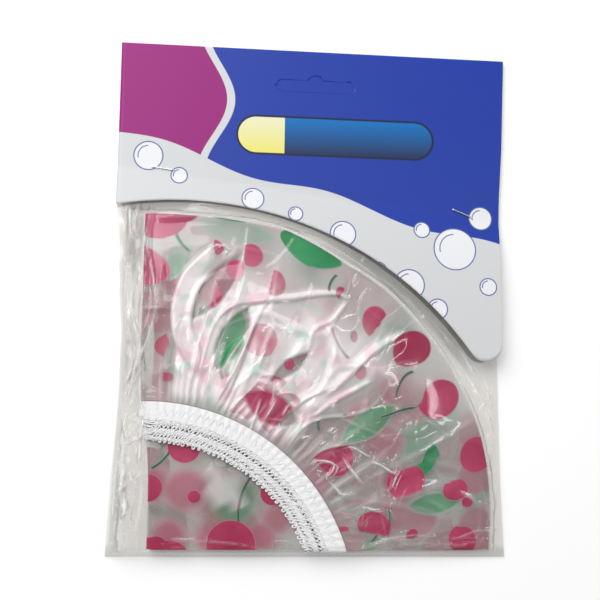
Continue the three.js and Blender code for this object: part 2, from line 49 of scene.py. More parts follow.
# Sizes repeated from the part's source
HALF_WIDTH = 82.5
HALF_HEIGHT = 106.6
APEX = np.array([-64.0, -102.9])  # where the cap's two creases meet
CAP_RADIUS = 139.0
RING_OFFSET = np.array([-2.6, -26.8])  # ring centre, from the apex, 2 mm lower than the source has it
RING = APEX + RING_OFFSET
RING_RADIUS = 85.5  # outer edge of the elastic
ELASTIC_WIDTH = 7.3
ELASTIC_WALL = 0.6
LACE_WIDTH = 9.0
CAP_FLOOR = 0.6
LEAF_PITCH = 0.4
OUTER_TRIM = 1.6  # lift of a leaf by the trim outside it, and by the trim between the two halves
INNER_TRIM = 1.9
ELASTIC_LEVELS = CAP_FLOOR + np.array([0.7, 3.3, 4.2, 6.8])
CAP_TRAVEL = 6.0
MOUTH = 83.4  # bag's mouth, between the card's panels
CARD_WALL = 0.4
PANEL_FLOOR = 1.9
PANEL_LIFT = 7.0  # front panel's rise over the full bag
PANEL_RUN = 22.0  # length over which it rises
CLAMP_MARGIN = 2.0  # flat card below the staples
ARC = np.array([-53.4, -108.4])  # centre of the card's die-cut arc
ARC_RADIUS = 147.6
LOBE_START = math.radians(36)  # where the arc turns into the card's lobe
LOBE_DROP = 4.0
LOBE_HALF = 9.0
LOBE_CORNER = 8.0
SLOT_MIDDLE = 90.9
SLOT_WIDTH = 33.0
SLOT_HEIGHT = 5.0
SLOT_BUMP = 3.4  # radius of the bump over the slot's middle
STAPLES = ((-64.0, 52.8, -7.0), (64.0, 38.0, -21.0))  # x, y and tilt in degrees

# Sizes of the scene alone
YARN_RADIUS = 0.37
THREAD_RADIUS = 0.18
STITCH_CORNERS = 64
STITCH_SWAY = 1.6
SLOT_GAP = 0.05  # between the card and the slugs
STAPLE_SINK = (10.0, 0.9, 1.2)  # cut in the card that a staple lies in
FILM_GAP = 0.3  # between the bag's film and what it lies on or under
FLANGE = 1.3  # height of the front film beside the cap

# Leaves of the four quarters, counted from the back, and the quarters that the creases join
CROWN_LEAF = np.array([1, 2, 5, 6])
SKIRT_LEAF = np.array([0, 3, 4, 7])
LEFT_PARTNER = np.array([3, 2, 1, 0])
BOTTOM_PARTNER = np.array([1, 0, 3, 2])
FRONT_QUARTER = 3


# Small tools

def value_noise(x, y, cell, seed):
    """Smooth noise from 0 to 1 on a seeded lattice with that cell."""
    table = np.random.RandomState(seed).rand(64, 64)
    u, v = x / cell, y / cell
    i, j = np.floor(u).astype(int), np.floor(v).astype(int)
    f, g = u - i, v - j
    f, g = f * f * (3 - 2 * f), g * g * (3 - 2 * g)
    low = table[i % 64, j % 64] * (1 - f) + table[(i + 1) % 64, j % 64] * f
    high = table[i % 64, (j + 1) % 64] * (1 - f) + table[(i + 1) % 64, (j + 1) % 64] * f
    return low * (1 - g) + high * g


def smooth(value, low, high):
    """0 below low, 1 above high, smooth in between."""
    t = np.clip((value - low) / (high - low), 0, 1)
    return t * t * (3 - 2 * t)


def soften(path, rounds=2):
    """Cuts the corners of a path, so that a crease along it bends."""
    points = np.array(path, float)
    for _ in range(rounds):
        a, b = points[:-1], points[1:]
        inner = np.stack([0.75 * a + 0.25 * b, 0.25 * a + 0.75 * b], 1).reshape(-1, 2)
        points = np.vstack([points[:1], inner, points[-1:]])
    return points


def ridge(x, y, path, left, right, height, sharpness=1.0):
    """A crease along a path, tent-shaped with its own width on each side and running out at both ends."""
    points = np.array(path, float)
    steps = np.diff(points, axis=0)
    lengths = np.hypot(*steps.T)
    lifted = np.zeros(x.shape)
    reach = max(left, right)
    near = ((x > points[:, 0].min() - reach) & (x < points[:, 0].max() + reach)
            & (y > points[:, 1].min() - reach) & (y < points[:, 1].max() + reach))
    px, py = x[near], y[near]
    nearest, along, side, start = np.full(px.shape, np.inf), np.zeros(px.shape), np.zeros(px.shape), 0.0
    for (ax, ay), (dx, dy), length in zip(points, steps, lengths):
        t = np.clip(((px - ax) * dx + (py - ay) * dy) / length**2, 0, 1)
        away = np.hypot(px - ax - t * dx, py - ay - t * dy)
        closer = away < nearest
        along = np.where(closer, start + t * length, along)
        side = np.where(closer, dx * (py - ay) - dy * (px - ax), side)
        nearest = np.minimum(nearest, away)
        start += length
    share = along / start
    taper = np.sqrt(np.clip(4 * share * (1 - share), 0, 1))
    width = np.where(side > 0, left, right)
    lifted[near] = height * taper * np.clip(1 - nearest / width, 0, 1) ** sharpness
    return lifted


def crumple(x, y, cell, seed):
    """Distances to the nearest and the second nearest of seeded points, about one to a cell."""
    draw = np.random.RandomState(seed)
    at = np.arange(-20.0, 180.0, cell)
    px, py = (axis + draw.uniform(-0.45, 0.45, axis.shape) * cell for axis in np.meshgrid(at, at))
    first, second = np.full(x.shape, np.inf), np.full(x.shape, np.inf)
    for ax, ay in zip(px.ravel(), py.ravel()):
        away = np.hypot(x - ax, y - ay)
        second = np.minimum(second, np.maximum(first, away))
        first = np.minimum(first, away)
    return first, second


def lens(x, y, cx, cy, turn, length, width):
    """1 in a pointed patch between two arcs, falling to 0 over a millimetre or two at its edge."""
    turn = math.radians(turn)
    u = (x - cx) * math.cos(turn) + (y - cy) * math.sin(turn)
    v = (y - cy) * math.cos(turn) - (x - cx) * math.sin(turn)
    radius = (length**2 + width**2) / (4 * width)
    out = np.maximum(np.hypot(u, v - radius + width / 2), np.hypot(u, v + radius - width / 2)) - radius
    return smooth(-out, -0.6, 1.2)


def linked(name, data):
    """Puts an object in the scene."""
    obj = bpy.data.objects.new(name, data)
    scene.collection.objects.link(obj)
    return obj


def piece(name, mesh, body, slot, *materials):
    """Puts a mesh in the scene as a piece that rides on a body."""
    obj = linked(name, mesh)
    for material in materials:
        mesh.materials.append(material)
    mesh.shade_smooth()
    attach(obj, body)
    return obj


def finished_mesh(obj):
    """The mesh of an object as its curves and modifiers make it."""
    bpy.context.view_layer.update()
    return bpy.data.meshes.new_from_object(obj.evaluated_get(bpy.context.evaluated_depsgraph_get()))


def mesh_from(bm, name):
    """A mesh from a bmesh, which is then freed."""
    mesh = bpy.data.meshes.new(name)
    bm.to_mesh(mesh)
    bm.free()
    return mesh


def sheet_mesh(name, points, uv=None, merge_rows=0, **values):
    """A sheet from an array [row, column, 3] of points, with a UV map in metres and named values."""
    rows, columns = points.shape[:2]
    bm = bmesh.new()
    bmesh.ops.create_grid(bm, x_segments=columns - 1, y_segments=rows - 1, size=0.5)
    mesh = bpy.data.meshes.new(name)
    bm.to_mesh(mesh)
    mesh.vertices.foreach_set("co", (points.reshape(-1, 3) * MM).astype(np.float32).ravel())
    for key, value in values.items():
        attribute = mesh.attributes.new(key, "FLOAT", "POINT")
        attribute.data.foreach_set("value", value.astype(np.float32).ravel())
    if uv is not None:
        corner = np.zeros(len(mesh.loops), np.int32)
        mesh.loops.foreach_get("vertex_index", corner)
        layer = mesh.uv_layers.new(name="flat")
        layer.uv.foreach_set("vector", (uv.reshape(-1, 2) * MM)[corner].astype(np.float32).ravel())
    if merge_rows:
        bm.clear()
        bm.from_mesh(mesh)
        bm.verts.ensure_lookup_table()
        bmesh.ops.remove_doubles(bm, verts=bm.verts[:merge_rows * columns], dist=0.002 * MM)
        bm.to_mesh(mesh)
    bm.free()
    mesh.update()
    return mesh


def thread_mesh(name, paths, radius):
    """Threads of one radius along closed or open paths of points."""
    curve = bpy.data.curves.new(name, "CURVE")
    curve.dimensions = "3D"
    curve.bevel_depth = radius * MM
    curve.bevel_resolution = 0
    curve.use_fill_caps = True
    for path, closed in paths:
        spline = curve.splines.new("POLY")
        spline.points.add(len(path) - 1)
        spline.points.foreach_set("co", np.c_[path * MM, np.ones(len(path))].astype(np.float32).ravel())
        spline.use_cyclic_u = closed
    drawn = linked(name, curve)
    mesh = finished_mesh(drawn)
    bpy.data.objects.remove(drawn)
    bpy.data.curves.remove(curve)
    mesh.name = name
    return mesh


# Materials

def ink(code):
    """Linear colour of an sRGB hex code."""
    parts = [int(code[i:i + 2], 16) / 255 for i in (1, 3, 5)]
    return (*[p / 12.92 if p <= 0.04045 else ((p + 0.055) / 1.055) ** 2.4 for p in parts], 1.0)


def node(tree, kind, links=None, **settings):
    """Adds a node with its settings. A link is a value, a socket, or a node whose first output is meant."""
    made = tree.nodes.new("ShaderNode" + kind)
    for key, value in settings.items():
        setattr(made, key, value)
    for key, value in (links or {}).items():
        if isinstance(value, bpy.types.Node):
            value = value.outputs[0]
        if isinstance(value, bpy.types.NodeSocket):
            tree.links.new(value, made.inputs[key])
        else:
            made.inputs[key].default_value = value
    return made


def new_material(name):
    """An empty material and its node tree."""
    material = bpy.data.materials.new(name)
    material.use_nodes = True
    material.node_tree.nodes.clear()
    return material, material.node_tree


def drawn_shape(tree, distance, blur):
    """1 inside a printed shape and 0 outside it, from the distance to its edge and the blur there."""
    low = node(tree, "Math", {0: blur, 1: -1.0}, operation="MULTIPLY")
    return node(tree, "MapRange", {"Value": distance, "From Min": low, "From Max": blur,
                                   "To Min": 1.0, "To Max": 0.0}, interpolation_type="SMOOTHSTEP")


def scattered(tree, place, cell, randomness, shift):
    """Coordinates about the nearest motif of a scattered print, turned its own way, and its random colour."""
    moved = node(tree, "VectorMath", {0: place, 1: (shift, shift, 0)}, operation="ADD")
    cells = node(tree, "TexVoronoi", {"Vector": moved, "Scale": 1 / cell, "Randomness": randomness},
                 voronoi_dimensions="2D", feature="F1")
    local = node(tree, "VectorMath", {0: moved, 1: cells.outputs["Position"]}, operation="SUBTRACT")
    chance = node(tree, "SeparateColor", {0: cells.outputs["Color"]})
    turn = node(tree, "Math", {0: chance.outputs[0], 1: 2 * math.pi}, operation="MULTIPLY")
    about = node(tree, "VectorRotate", {"Vector": local, "Angle": turn}, rotation_type="Z_AXIS")
    return about, chance


def outline_distance(tree, distance, half_width):
    """Distance to a line of that half width along the edge of a shape."""
    off = node(tree, "Math", {0: distance}, operation="ABSOLUTE")
    return node(tree, "Math", {0: off, 1: half_width}, operation="SUBTRACT")


def wave(tree, along, length, start, height):
    """A wave over a coordinate, with its length and height in millimetres."""
    phase = node(tree, "Math", {0: along, 1: 2 * math.pi / length, 2: start}, operation="MULTIPLY_ADD")
    sine = node(tree, "Math", {0: phase}, operation="SINE")
    return node(tree, "Math", {0: sine, 1: height}, operation="MULTIPLY")


def overprinted(tree, colour, layers):
    """A colour with inks laid over it one after another, each through its mask."""
    for mask, tone in layers:
        colour = node(tree, "Mix", {0: mask, 6: colour, 7: tone}, data_type="RGBA").outputs[2]
    return colour


def disc_distance(tree, place, centre, radius):
    """Distance to the edge of a disc, negative inside it."""
    away = node(tree, "VectorMath", {0: place, 1: (*centre, 0)}, operation="DISTANCE")
    return node(tree, "Math", {0: away.outputs["Value"], 1: radius}, operation="SUBTRACT")


def leaf_distance(tree, place, middle, turn, length, width):
    """Distance to the edge of a pointed leaf between two arcs."""
    radius = (length**2 + width**2) / (4 * width)
    off = radius - width / 2
    across = (-math.sin(turn) * off, math.cos(turn) * off)
    sides = [disc_distance(tree, place, (middle[0] + s * across[0], middle[1] + s * across[1]), radius)
             for s in (-1, 1)]
    return node(tree, "Math", {0: sides[0], 1: sides[1]}, operation="MAXIMUM")


def stem_distance(tree, place, start, end, sag, half_width):
    """Distance to a stem that bends from start to end, as an arc kept between two cuts."""
    a, b = np.array(start, float), np.array(end, float)
    chord = b - a
    length = np.hypot(*chord)
    radius = ((length / 2) ** 2 + sag**2) / (2 * abs(sag))
    normal = np.array([chord[1], -chord[0]]) / length * np.sign(sag)
    centre = (a + b) / 2 + normal * (radius - abs(sag))
    line = outline_distance(tree, disc_distance(tree, place, centre, radius), half_width)
    span = disc_distance(tree, place, (a + b) / 2, length / 2)
    return node(tree, "Math", {0: line, 1: span}, operation="MAXIMUM")


def thin_fresnel(tree, ior):
    """Reflection of a film too thin to bend light, alike from both its sides."""
    behind = node(tree, "NewGeometry").outputs["Backfacing"]
    either = node(tree, "MapRange", {"Value": behind, "To Min": ior, "To Max": 1 / ior})
    return node(tree, "Fresnel", {"IOR": either})


def printed_film():
    """EVA film, blown milky and printed by gravure: flat see-through inks, blurred on deeper leaves."""
    material, tree = new_material("gravure_printed_eva_film")
    flat = node(tree, "UVMap", uv_map="flat")
    place = node(tree, "VectorMath", {0: flat, "Scale": 1 / MM}, operation="SCALE")
    blur, bunched_and_painted_light, veil, front, outer = (node(tree, "Attribute", attribute_name=key).outputs["Fac"]
                                         for key in ("haze", "milk", "veil", "front", "outer"))

    # The front leaves carry motifs placed one by one; the leaves behind them carry the same ones scattered
    placed = {"cherry": [], "dot": [], "leaf": [], "stem": []}
    for group, spot in ((SKIRT_PRINT, film_place), (CROWN_PRINT, lambda x, y: film_place(x, y, True)),
                        (BEHIND_CROWN_PRINT, lambda x, y: film_place(x, y, True, -1))):
        for key in ("cherry", "dot"):
            placed[key] += [disc_distance(tree, place, spot(x, y), radius) for x, y, radius in group[key]]
        for x, y, turn, length, width in group["leaf"]:
            a, b = (spot(x + d * math.cos(turn), y + d * math.sin(turn)) for d in (-2, 2))
            turn = math.atan2(*(b - a)[::-1])
            placed["leaf"].append(leaf_distance(tree, place, (a + b) / 2, turn, length, width))
        placed["stem"] += [stem_distance(tree, place, spot(*start), spot(*end), sag, 0.55)
                           for start, end, sag in group["stem"]]
    pair, _ = scattered(tree, place, 46, 0.15, 11.0)
    single, _ = scattered(tree, place, 33, 0.3, 204.0)
    dot, chance = scattered(tree, place, 24, 0.7, 77.0)
    dropped = node(tree, "Math", {0: chance.outputs[1], 1: 0.5}, operation="GREATER_THAN")
    gone = node(tree, "Math", {0: dropped, 1: 20.0}, operation="MULTIPLY")
    behind = {
        "cherry": [disc_distance(tree, at, centre, radius) for at, centre, radius in (
            (pair, (-12.5, -12.0), 8.0), (pair, (5.0, -10.0), 7.6), (single, (0.0, -6.0), 7.9))],
        "stem": [stem_distance(tree, at, start, end, sag, 0.6) for at, start, end, sag in (
            (pair, (-11.0, -6.5), (-1.0, 13.0), 2.6), (pair, (4.5, -4.0), (-1.0, 13.0), -1.8),
            (single, (0.5, -0.5), (5.5, 15.5), 2.0))],
        "leaf": [leaf_distance(tree, pair, (9.5, 16.0), 0.35, 25.0, 10.5)],
        "dot": [node(tree, "Math", {0: disc_distance(tree, dot, (0.0, 0.0), 2.4), 1: gone}, operation="ADD")],
    }

    # The ink lies uneven, lighter in patches down to a millimetre or two; bunched film whitens it, and shows
    # faint pink and green from the print bunched up in it. The whitening also holds painted sheen and painted
    # light
    uneven = node(tree, "TexNoise", {"Vector": place, "Scale": 1 / 26, "Detail": 4.0}, noise_dimensions="2D")
    uneven = node(tree, "MapRange", {"Value": uneven, "From Min": 0.3, "From Max": 0.68})
    hidden = node(tree, "Math", {0: front, 1: 50.0}, operation="MULTIPLY")
    layers, cover = [], None
    for key, dark, light in (("dot", "#981344", "#cd4878"), ("leaf", "#0f7438", "#3fa76d"),
                             ("stem", "#0d3d2b", "#247f54"), ("cherry", "#a21a48", "#c5446c")):
        nearest = placed[key][0]
        for shape in placed[key][1:]:
            nearest = node(tree, "Math", {0: nearest, 1: shape}, operation="MINIMUM")
        for shape in behind[key]:
            far = node(tree, "Math", {0: shape, 1: hidden}, operation="ADD")
            nearest = node(tree, "Math", {0: nearest, 1: far}, operation="MINIMUM")
        mask = drawn_shape(tree, nearest, blur)
        tone = node(tree, "Mix", {0: uneven, 6: ink(dark), 7: ink(light)}, data_type="RGBA").outputs[2]
        layers.append((mask, tone))
        cover = mask if cover is None else node(tree, "Math", {0: cover, 1: mask}, operation="MAXIMUM")
    colour = overprinted(tree, ink("#f7f5f3"), layers)
    deeper = node(tree, "Math", {0: front, 1: -0.05, 2: 0.05}, operation="MULTIPLY_ADD")
    whiter = node(tree, "Math", {0: bunched_and_painted_light, 1: 0.6, 2: deeper}, operation="MULTIPLY_ADD", use_clamp=True)
    faint = []
    for patch, low, tint in ((13, 0.5, "#f0a9c1"), (9, 0.58, "#b4dcc8")):
        seen = node(tree, "TexNoise", {"Vector": place, "Scale": 1 / patch, "Detail": 1.0},
                    noise_dimensions="2D")
        seen = node(tree, "MapRange", {"Value": seen, "From Min": low, "From Max": low + 0.14,
                                       "To Max": 0.85})
        faint.append((seen, ink(tint)))
    milky = overprinted(tree, ink("#fff1f4"), faint)
    colour = node(tree, "Mix", {0: whiter, 6: colour, 7: milky}, data_type="RGBA").outputs[2]

    # Bare film hides little; bunched film, film under painted sheen and film seen edge-on hide more
    edge_on = node(tree, "LayerWeight", {"Blend": 0.35}).outputs["Facing"]
    thick = node(tree, "Math", {0: bunched_and_painted_light, 1: 0.95, 2: veil}, operation="MULTIPLY_ADD")
    thicker = node(tree, "Math", {0: edge_on, 1: 0.3, 2: thick}, operation="MULTIPLY_ADD")
    bare = node(tree, "Math", {0: thicker, 1: 0.1}, operation="ADD", use_clamp=True)
    density = node(tree, "Math", {0: front, 1: 0.12, 2: 0.81}, operation="MULTIPLY_ADD")
    inked = node(tree, "Math", {0: cover, 1: density}, operation="MULTIPLY")
    hides = node(tree, "Math", {0: bare, 1: inked}, operation="MAXIMUM")
    body = node(tree, "BsdfDiffuse", {"Color": colour})
    through = node(tree, "BsdfTranslucent", {"Color": colour})
    lit = node(tree, "MixShader", {0: 0.05, 1: body, 2: through})
    clear = node(tree, "BsdfTransparent", {"Color": (0.955, 0.957, 0.95, 1)})
    film = node(tree, "MixShader", {0: hides, 1: clear, 2: lit})
    gloss = node(tree, "BsdfGlossy", {"Roughness": 0.3})
    fresnel = thin_fresnel(tree, 1.45)
    boost = node(tree, "Math", {0: bunched_and_painted_light, 1: 1.5, 2: outer}, operation="MULTIPLY_ADD")
    shine = node(tree, "Math", {0: fresnel, 1: boost}, operation="MULTIPLY", use_clamp=True)
    surface = node(tree, "MixShader", {0: shine, 1: film, 2: gloss})
    node(tree, "OutputMaterial", {"Surface": surface})
    return material


def clear_film(name, tint=(1, 1, 1, 1)):
    """Cast polypropylene bag film: clear, grey where seen edge-on or where shade is painted, glossy, and
    white where it is creased, partly as painted glints.
    """
    material, tree = new_material(name)
    steep = node(tree, "LayerWeight", {"Blend": 0.5}).outputs["Facing"]
    wall, shade, crease_white_and_glint = (node(tree, "Attribute", attribute_name=key).outputs["Fac"]
                            for key in ("wall", "shade", "crease"))
    steep = node(tree, "MapRange", {"Value": steep, "From Min": 0.33, "From Max": 0.66, "To Max": wall})
    # Painted shade: the sheet's shade values grey what shows through the film
    steep = node(tree, "Math", {0: steep, 1: shade}, operation="MAXIMUM")
    through = node(tree, "Mix", {0: steep, 6: tint, 7: (0.5, 0.51, 0.5, 1)}, data_type="RGBA")
    clear = node(tree, "BsdfTransparent", {"Color": through.outputs[2]})
    # The white of the creases: partly the film whitening where creased, partly painted glints
    white_and_painted_light = node(tree, "BsdfDiffuse", {"Color": ink("#f4f4f4")})
    film = node(tree, "MixShader", {0: crease_white_and_glint, 1: clear, 2: white_and_painted_light})
    gloss = node(tree, "BsdfGlossy", {"Roughness": 0.09})
    shine = node(tree, "Math", {0: thin_fresnel(tree, 1.49), 1: 1.1}, operation="MULTIPLY", use_clamp=True)
    surface = node(tree, "MixShader", {0: shine, 1: film, 2: gloss})
    node(tree, "OutputMaterial", {"Surface": surface})
    return material


def woven_elastic():
    """Polyester-covered elastic, woven: ribs across the tape and rows along it, matt white.

    The real ribs are about 1 mm apart, and are drawn coarser here, so that they show.
    """
    material, tree = new_material("woven_polyester_elastic")
    flat = node(tree, "UVMap", uv_map="flat")
    band = 2 * math.pi / 20 / MM  # length of a band of a wave texture at scale 1, in millimetres
    ribs = node(tree, "TexWave", {"Vector": flat, "Scale": band / 2.171, "Distortion": 1.5, "Detail": 1.0},
                bands_direction="X")
    rows = node(tree, "TexWave", {"Vector": flat, "Scale": band / 2.566, "Distortion": 1.0},
                bands_direction="Y")
    weave = node(tree, "Math", {0: ribs.outputs["Fac"], 1: rows.outputs["Fac"]}, operation="MULTIPLY")
    colour = node(tree, "Mix", {0: weave, 6: ink("#f8f8f9"), 7: ink("#ffffff")}, data_type="RGBA")
    raised = node(tree, "Bump", {"Height": weave, "Distance": 0.0002, "Strength": 0.4})
    body = node(tree, "BsdfPrincipled", {"Base Color": colour.outputs[2], "Roughness": 0.8,
                                         "Sheen Weight": 0.3, "Normal": raised})
    node(tree, "OutputMaterial", {"Surface": body})
    return material


def mottled(name, grain, detail, dark, light, rough, finish):
    """A plain finish whose tone and roughness vary with a fine grain, given in millimetres."""
    material, tree = new_material(name)
    place = node(tree, "TexCoord").outputs["Object"]
    mottle = node(tree, "TexNoise", {"Vector": place, "Scale": 1 / (grain * MM), "Detail": detail})
    colour = node(tree, "Mix", {0: mottle, 6: ink(dark), 7: ink(light)}, data_type="RGBA").outputs[2]
    rough = node(tree, "MapRange", {"Value": mottle, "To Min": rough[0], "To Max": rough[1]})
    body = node(tree, "BsdfPrincipled", {"Base Color": colour, "Roughness": rough, **finish})
    node(tree, "OutputMaterial", {"Surface": body})
    return material


# Soap bubbles on the card: x, y, radius
BUBBLES = ((-70, 58, 6.0), (-57, 50, 3.4), (-26, 41, 4.6), (-8, 35, 3.0), (12, 27, 5.4), (27, 12, 3.2),
           (40, 6, 6.4), (52, -4, 4.2), (60, 22, 9.0), (72, 36, 5.0), (74, 6, 3.6), (46, 30, 3.4))


def printed_card():
    """Coated card, offset printed: flat blue and purple inks on white, with a soft gloss from the coating."""
    material, tree = new_material("offset_printed_card")
    metres = node(tree, "TexCoord").outputs["Object"]
    solid = node(tree, "VectorMath", {0: metres, "Scale": 1 / MM}, operation="SCALE")
    place = node(tree, "VectorMath", {0: solid, 1: (1, 1, 0)}, operation="MULTIPLY")
    axes = node(tree, "SeparateXYZ", {0: place})
    x, y = axes.outputs[0], axes.outputs[1]
    edge = 0.16  # half the blur of a printed edge

    # A wave that falls to the right parts the blue field from the white foot
    slope = node(tree, "Math", {0: x, 1: -0.28, 2: 45.0}, operation="MULTIPLY_ADD")
    shore = node(tree, "Math", {0: slope, 1: wave(tree, x, 70, 0.9, 2.2)}, operation="ADD")
    under = node(tree, "Math", {0: shore, 1: y}, operation="SUBTRACT")
    # A second wave, up the left side, parts the purple block from the blue field
    side = node(tree, "Math", {0: x, 1: wave(tree, y, 62, -0.6, 6.0)}, operation="SUBTRACT")
    beside = node(tree, "Math", {0: side, 1: 42.0}, operation="ADD")
    field, block, border = (drawn_shape(tree, distance, edge)
                            for distance in (under, beside, outline_distance(tree, beside, 1.7)))
    fade = node(tree, "MapRange", {"Value": y, "From Min": 20.0, "From Max": 105.0})
    blue = node(tree, "Mix", {0: fade, 6: ink("#2641a5"), 7: ink("#1f3da5")}, data_type="RGBA").outputs[2]
    colour = overprinted(tree, blue, ((block, ink("#9b217b")), (border, ink("#d6d9db"))))
    colour = node(tree, "Mix", {0: field, 6: ink("#d6d8da"), 7: colour}, data_type="RGBA").outputs[2]

    # A plain bar with round ends, pale yellow at its left
    shown = node(tree, "Math", {0: y, 1: -69.0}, operation="ADD")
    centred = node(tree, "Math", {0: x, 1: -9.0}, operation="ADD")
    past = node(tree, "Math", {0: outline_distance(tree, centred, 34.0), 1: 0.0}, operation="MAXIMUM")
    corner = node(tree, "CombineXYZ", {0: past, 1: shown})
    round_end = node(tree, "VectorMath", {0: corner}, operation="LENGTH").outputs["Value"]
    rim, core = (drawn_shape(tree, node(tree, "Math", {0: round_end, 1: radius}, operation="SUBTRACT"), edge)
                 for radius in (8.6, 7.7))
    depth = node(tree, "MapRange", {"Value": shown, "From Min": -7.0, "From Max": 7.0})
    deep, cream = (node(tree, "Mix", {0: depth, 6: ink(low), 7: ink(high)}, data_type="RGBA").outputs[2]
                   for low, high in (("#26365f", "#0f72bd"), ("#efe878", "#efedc6")))
    tab = drawn_shape(tree, node(tree, "Math", {0: centred, 1: 22.0}, operation="ADD"), edge)
    bar = node(tree, "Mix", {0: tab, 6: deep, 7: cream}, data_type="RGBA").outputs[2]
    colour = overprinted(tree, colour, ((rim, ink("#1f2743")), (core, bar)))

    # Soap bubbles: a white disc, a thin ring and a short glint inside it
    for bx, by, radius in BUBBLES:
        away = disc_distance(tree, place, (bx, by), radius)
        inner = node(tree, "Math", {0: away, 1: 0.28 * radius}, operation="ADD")
        lit_side = disc_distance(tree, place, (bx - 0.6 * radius, by + 0.45 * radius), 0.62 * radius)
        glint = node(tree, "Math", {0: outline_distance(tree, inner, 0.22), 1: lit_side}, operation="MAXIMUM")
        lines = node(tree, "Math", {0: outline_distance(tree, away, 0.25), 1: glint}, operation="MINIMUM")
        filled, outlined = (drawn_shape(tree, distance, edge) for distance in (away, lines))
        colour = overprinted(tree, colour, ((filled, ink("#eeeff2")), (outlined, ink("#5b64a0"))))

    fibre = node(tree, "TexNoise", {"Vector": place, "Scale": 1 / 1.2, "Detail": 3.0})
    raised = node(tree, "Bump", {"Height": fibre, "Distance": 0.00004, "Strength": 0.25})
    body = node(tree, "BsdfPrincipled", {"Base Color": colour, "Roughness": 0.45, "Specular IOR Level": 0.3,
                                         "Normal": raised})
    node(tree, "OutputMaterial", {"Surface": body})
    return material


# The folded cap

def ring_reach(angle, radius):
    """Distance from the apex to a circle round the ring's centre."""
    along = RING_OFFSET[0] * np.cos(angle) + RING_OFFSET[1] * np.sin(angle)
    return along + np.sqrt(along**2 - RING_OFFSET @ RING_OFFSET + radius**2)


# How far the arc stands out past its circle, by the angle in degrees
SWELL = np.array(((0, 0.0), (12, 3.0), (20, 4.5), (32, 4.5), (41, 4.0), (49, 3.5), (57, 1.8), (69, 2.0),
                  (76, -0.7), (85, -2.5), (90, -2.7)))


def swell(angle, radius):
    """How far a leaf stands out with the arc, less towards the elastic."""
    return np.interp(np.degrees(angle), *SWELL.T) * smooth(radius, 92, CAP_RADIUS)


def lean(radius):
    """How much further the outer leaves bulge past the left crease, away from the apex."""
    return 4.2 * smooth(radius, 25, 70)


# Gathers of the skirt: pitch, height, distance of the highest point from the elastic
GATHERS = ((3.3, 0.8, 4.0), (6.4, 1.0, 9.0), (12.5, 0.6, 15.0))

# Large folds of the front skirt: path, width to the left and to the right of its way, height, whiteness
# (bunched film and painted sheen)
FOLDS = (
    (((-48.3, -32.5), (-56.2, -20.2), (-58.1, -11.3), (-57.7, -3.1), (-55.7, 4.3), (-53.4, 10.2),
      (-49.1, 14.8), (-44.3, 19.9), (-41.1, 21.7)), 1.3, 9.5, 2.8, 1.0),
    (((-47.5, -31.7), (-45.7, -23.6), (-50.7, -14.3), (-50.5, -7.8), (-47.6, 3.3), (-44.0, 7.1),
      (-39.6, 10.6)), 3.0, 0.8, 1.5, 0.8),
    (((-46.3, -31.7), (-42.8, -15.8), (-40.4, -10.8), (-36.3, -6.2), (-31.9, -2.4), (-29.6, 5.1),
      (-28.9, 8.0)), 0.8, 3.6, 1.8, 0.9),
    (((-40.5, -10.5), (-37.9, -7.9), (-31.9, -4.1), (-25.8, -3.3), (-18.0, -2.5), (-8.5, -1.8), (-0.2, 0.0),
      (9.7, 0.3), (13.5, -2.5)), 3.4, 0.8, 2.0, 1.0),
    (((13.1, -2.1), (10.7, -5.9), (6.8, -11.0), (2.8, -12.3), (-0.9, -14.9), (-1.4, -19.4), (-2.6, -23.1)),
     1.6, 1.2, 1.3, 0.9),
    (((-0.9, -14.9), (-6.7, -12.5), (-11.7, -9.7), (-21.2, -6.1)), 2.6, 1.2, 1.0, 0.6),
    (((3.7, -12.3), (6.8, -16.7), (9.4, -22.5), (7.0, -28.7), (6.4, -33.6)), 3.6, 1.5, 1.2, 0.8),
    (((-37.9, -46.1), (-34.7, -40.8), (-31.3, -31.4), (-27.1, -19.9), (-24.2, -10.5)), 2.6, 0.9, 1.7, 0.9),
    (((-35.6, -38.4), (-37.4, -32.7), (-35.7, -27.6), (-29.7, -18.8), (-24.4, -10.9)), 0.8, 2.0, 1.4, 0.9),
    (((-23.1, -35.3), (-15.7, -37.8), (-9.1, -44.4), (-6.2, -46.4)), 3.2, 0.9, 1.3, 0.9),
    (((6.1, -40.5), (10.6, -36.8), (15.9, -32.0), (22.5, -25.1), (28.8, -20.4), (36.7, -15.7)),
     4.0, 1.2, 1.6, 0.9),
    (((-25.5, -55.9), (-22.5, -47.0), (-20.9, -42.2)), 1.0, 0.7, 1.0, 0.9),
    (((-19.5, -51.0), (-14.8, -42.9)), 1.0, 0.6, 0.9, 0.9),
    (((-12.2, -49.3), (-9.5, -44.4)), 0.9, 0.6, 0.8, 0.9),
    (((0.5, -49.5), (9.0, -43.0), (16.0, -39.5), (24.0, -35.0)), 2.6, 1.0, 1.2, 0.9),
    (((20.0, -77.0), (33.0, -70.0), (48.0, -62.0), (68.0, -49.0)), 3.0, 1.5, 0.8, 0.35),
    (((24.0, -84.0), (40.0, -86.0), (58.0, -91.0)), 3.0, 2.0, 0.7, 0.3),
)
# Places between the folds where the front leaf lies tight and stays clear: x, y, degrees, length, width
WINDOWS = ((-40.5, 3.5, 55, 35, 12), (-9.4, -29.4, 38, 21, 6.6), (-33.5, -18.0, 64, 30, 11.5),
           (-17.0, -46.5, -28, 25, 13))
# Angles of the pleats in degrees, with one beyond each crease
PLEATS = np.concatenate([[-30.0], np.cumsum(np.random.RandomState(5).uniform(5.0, 10.5, 14)) - 3.0, [130.0]])


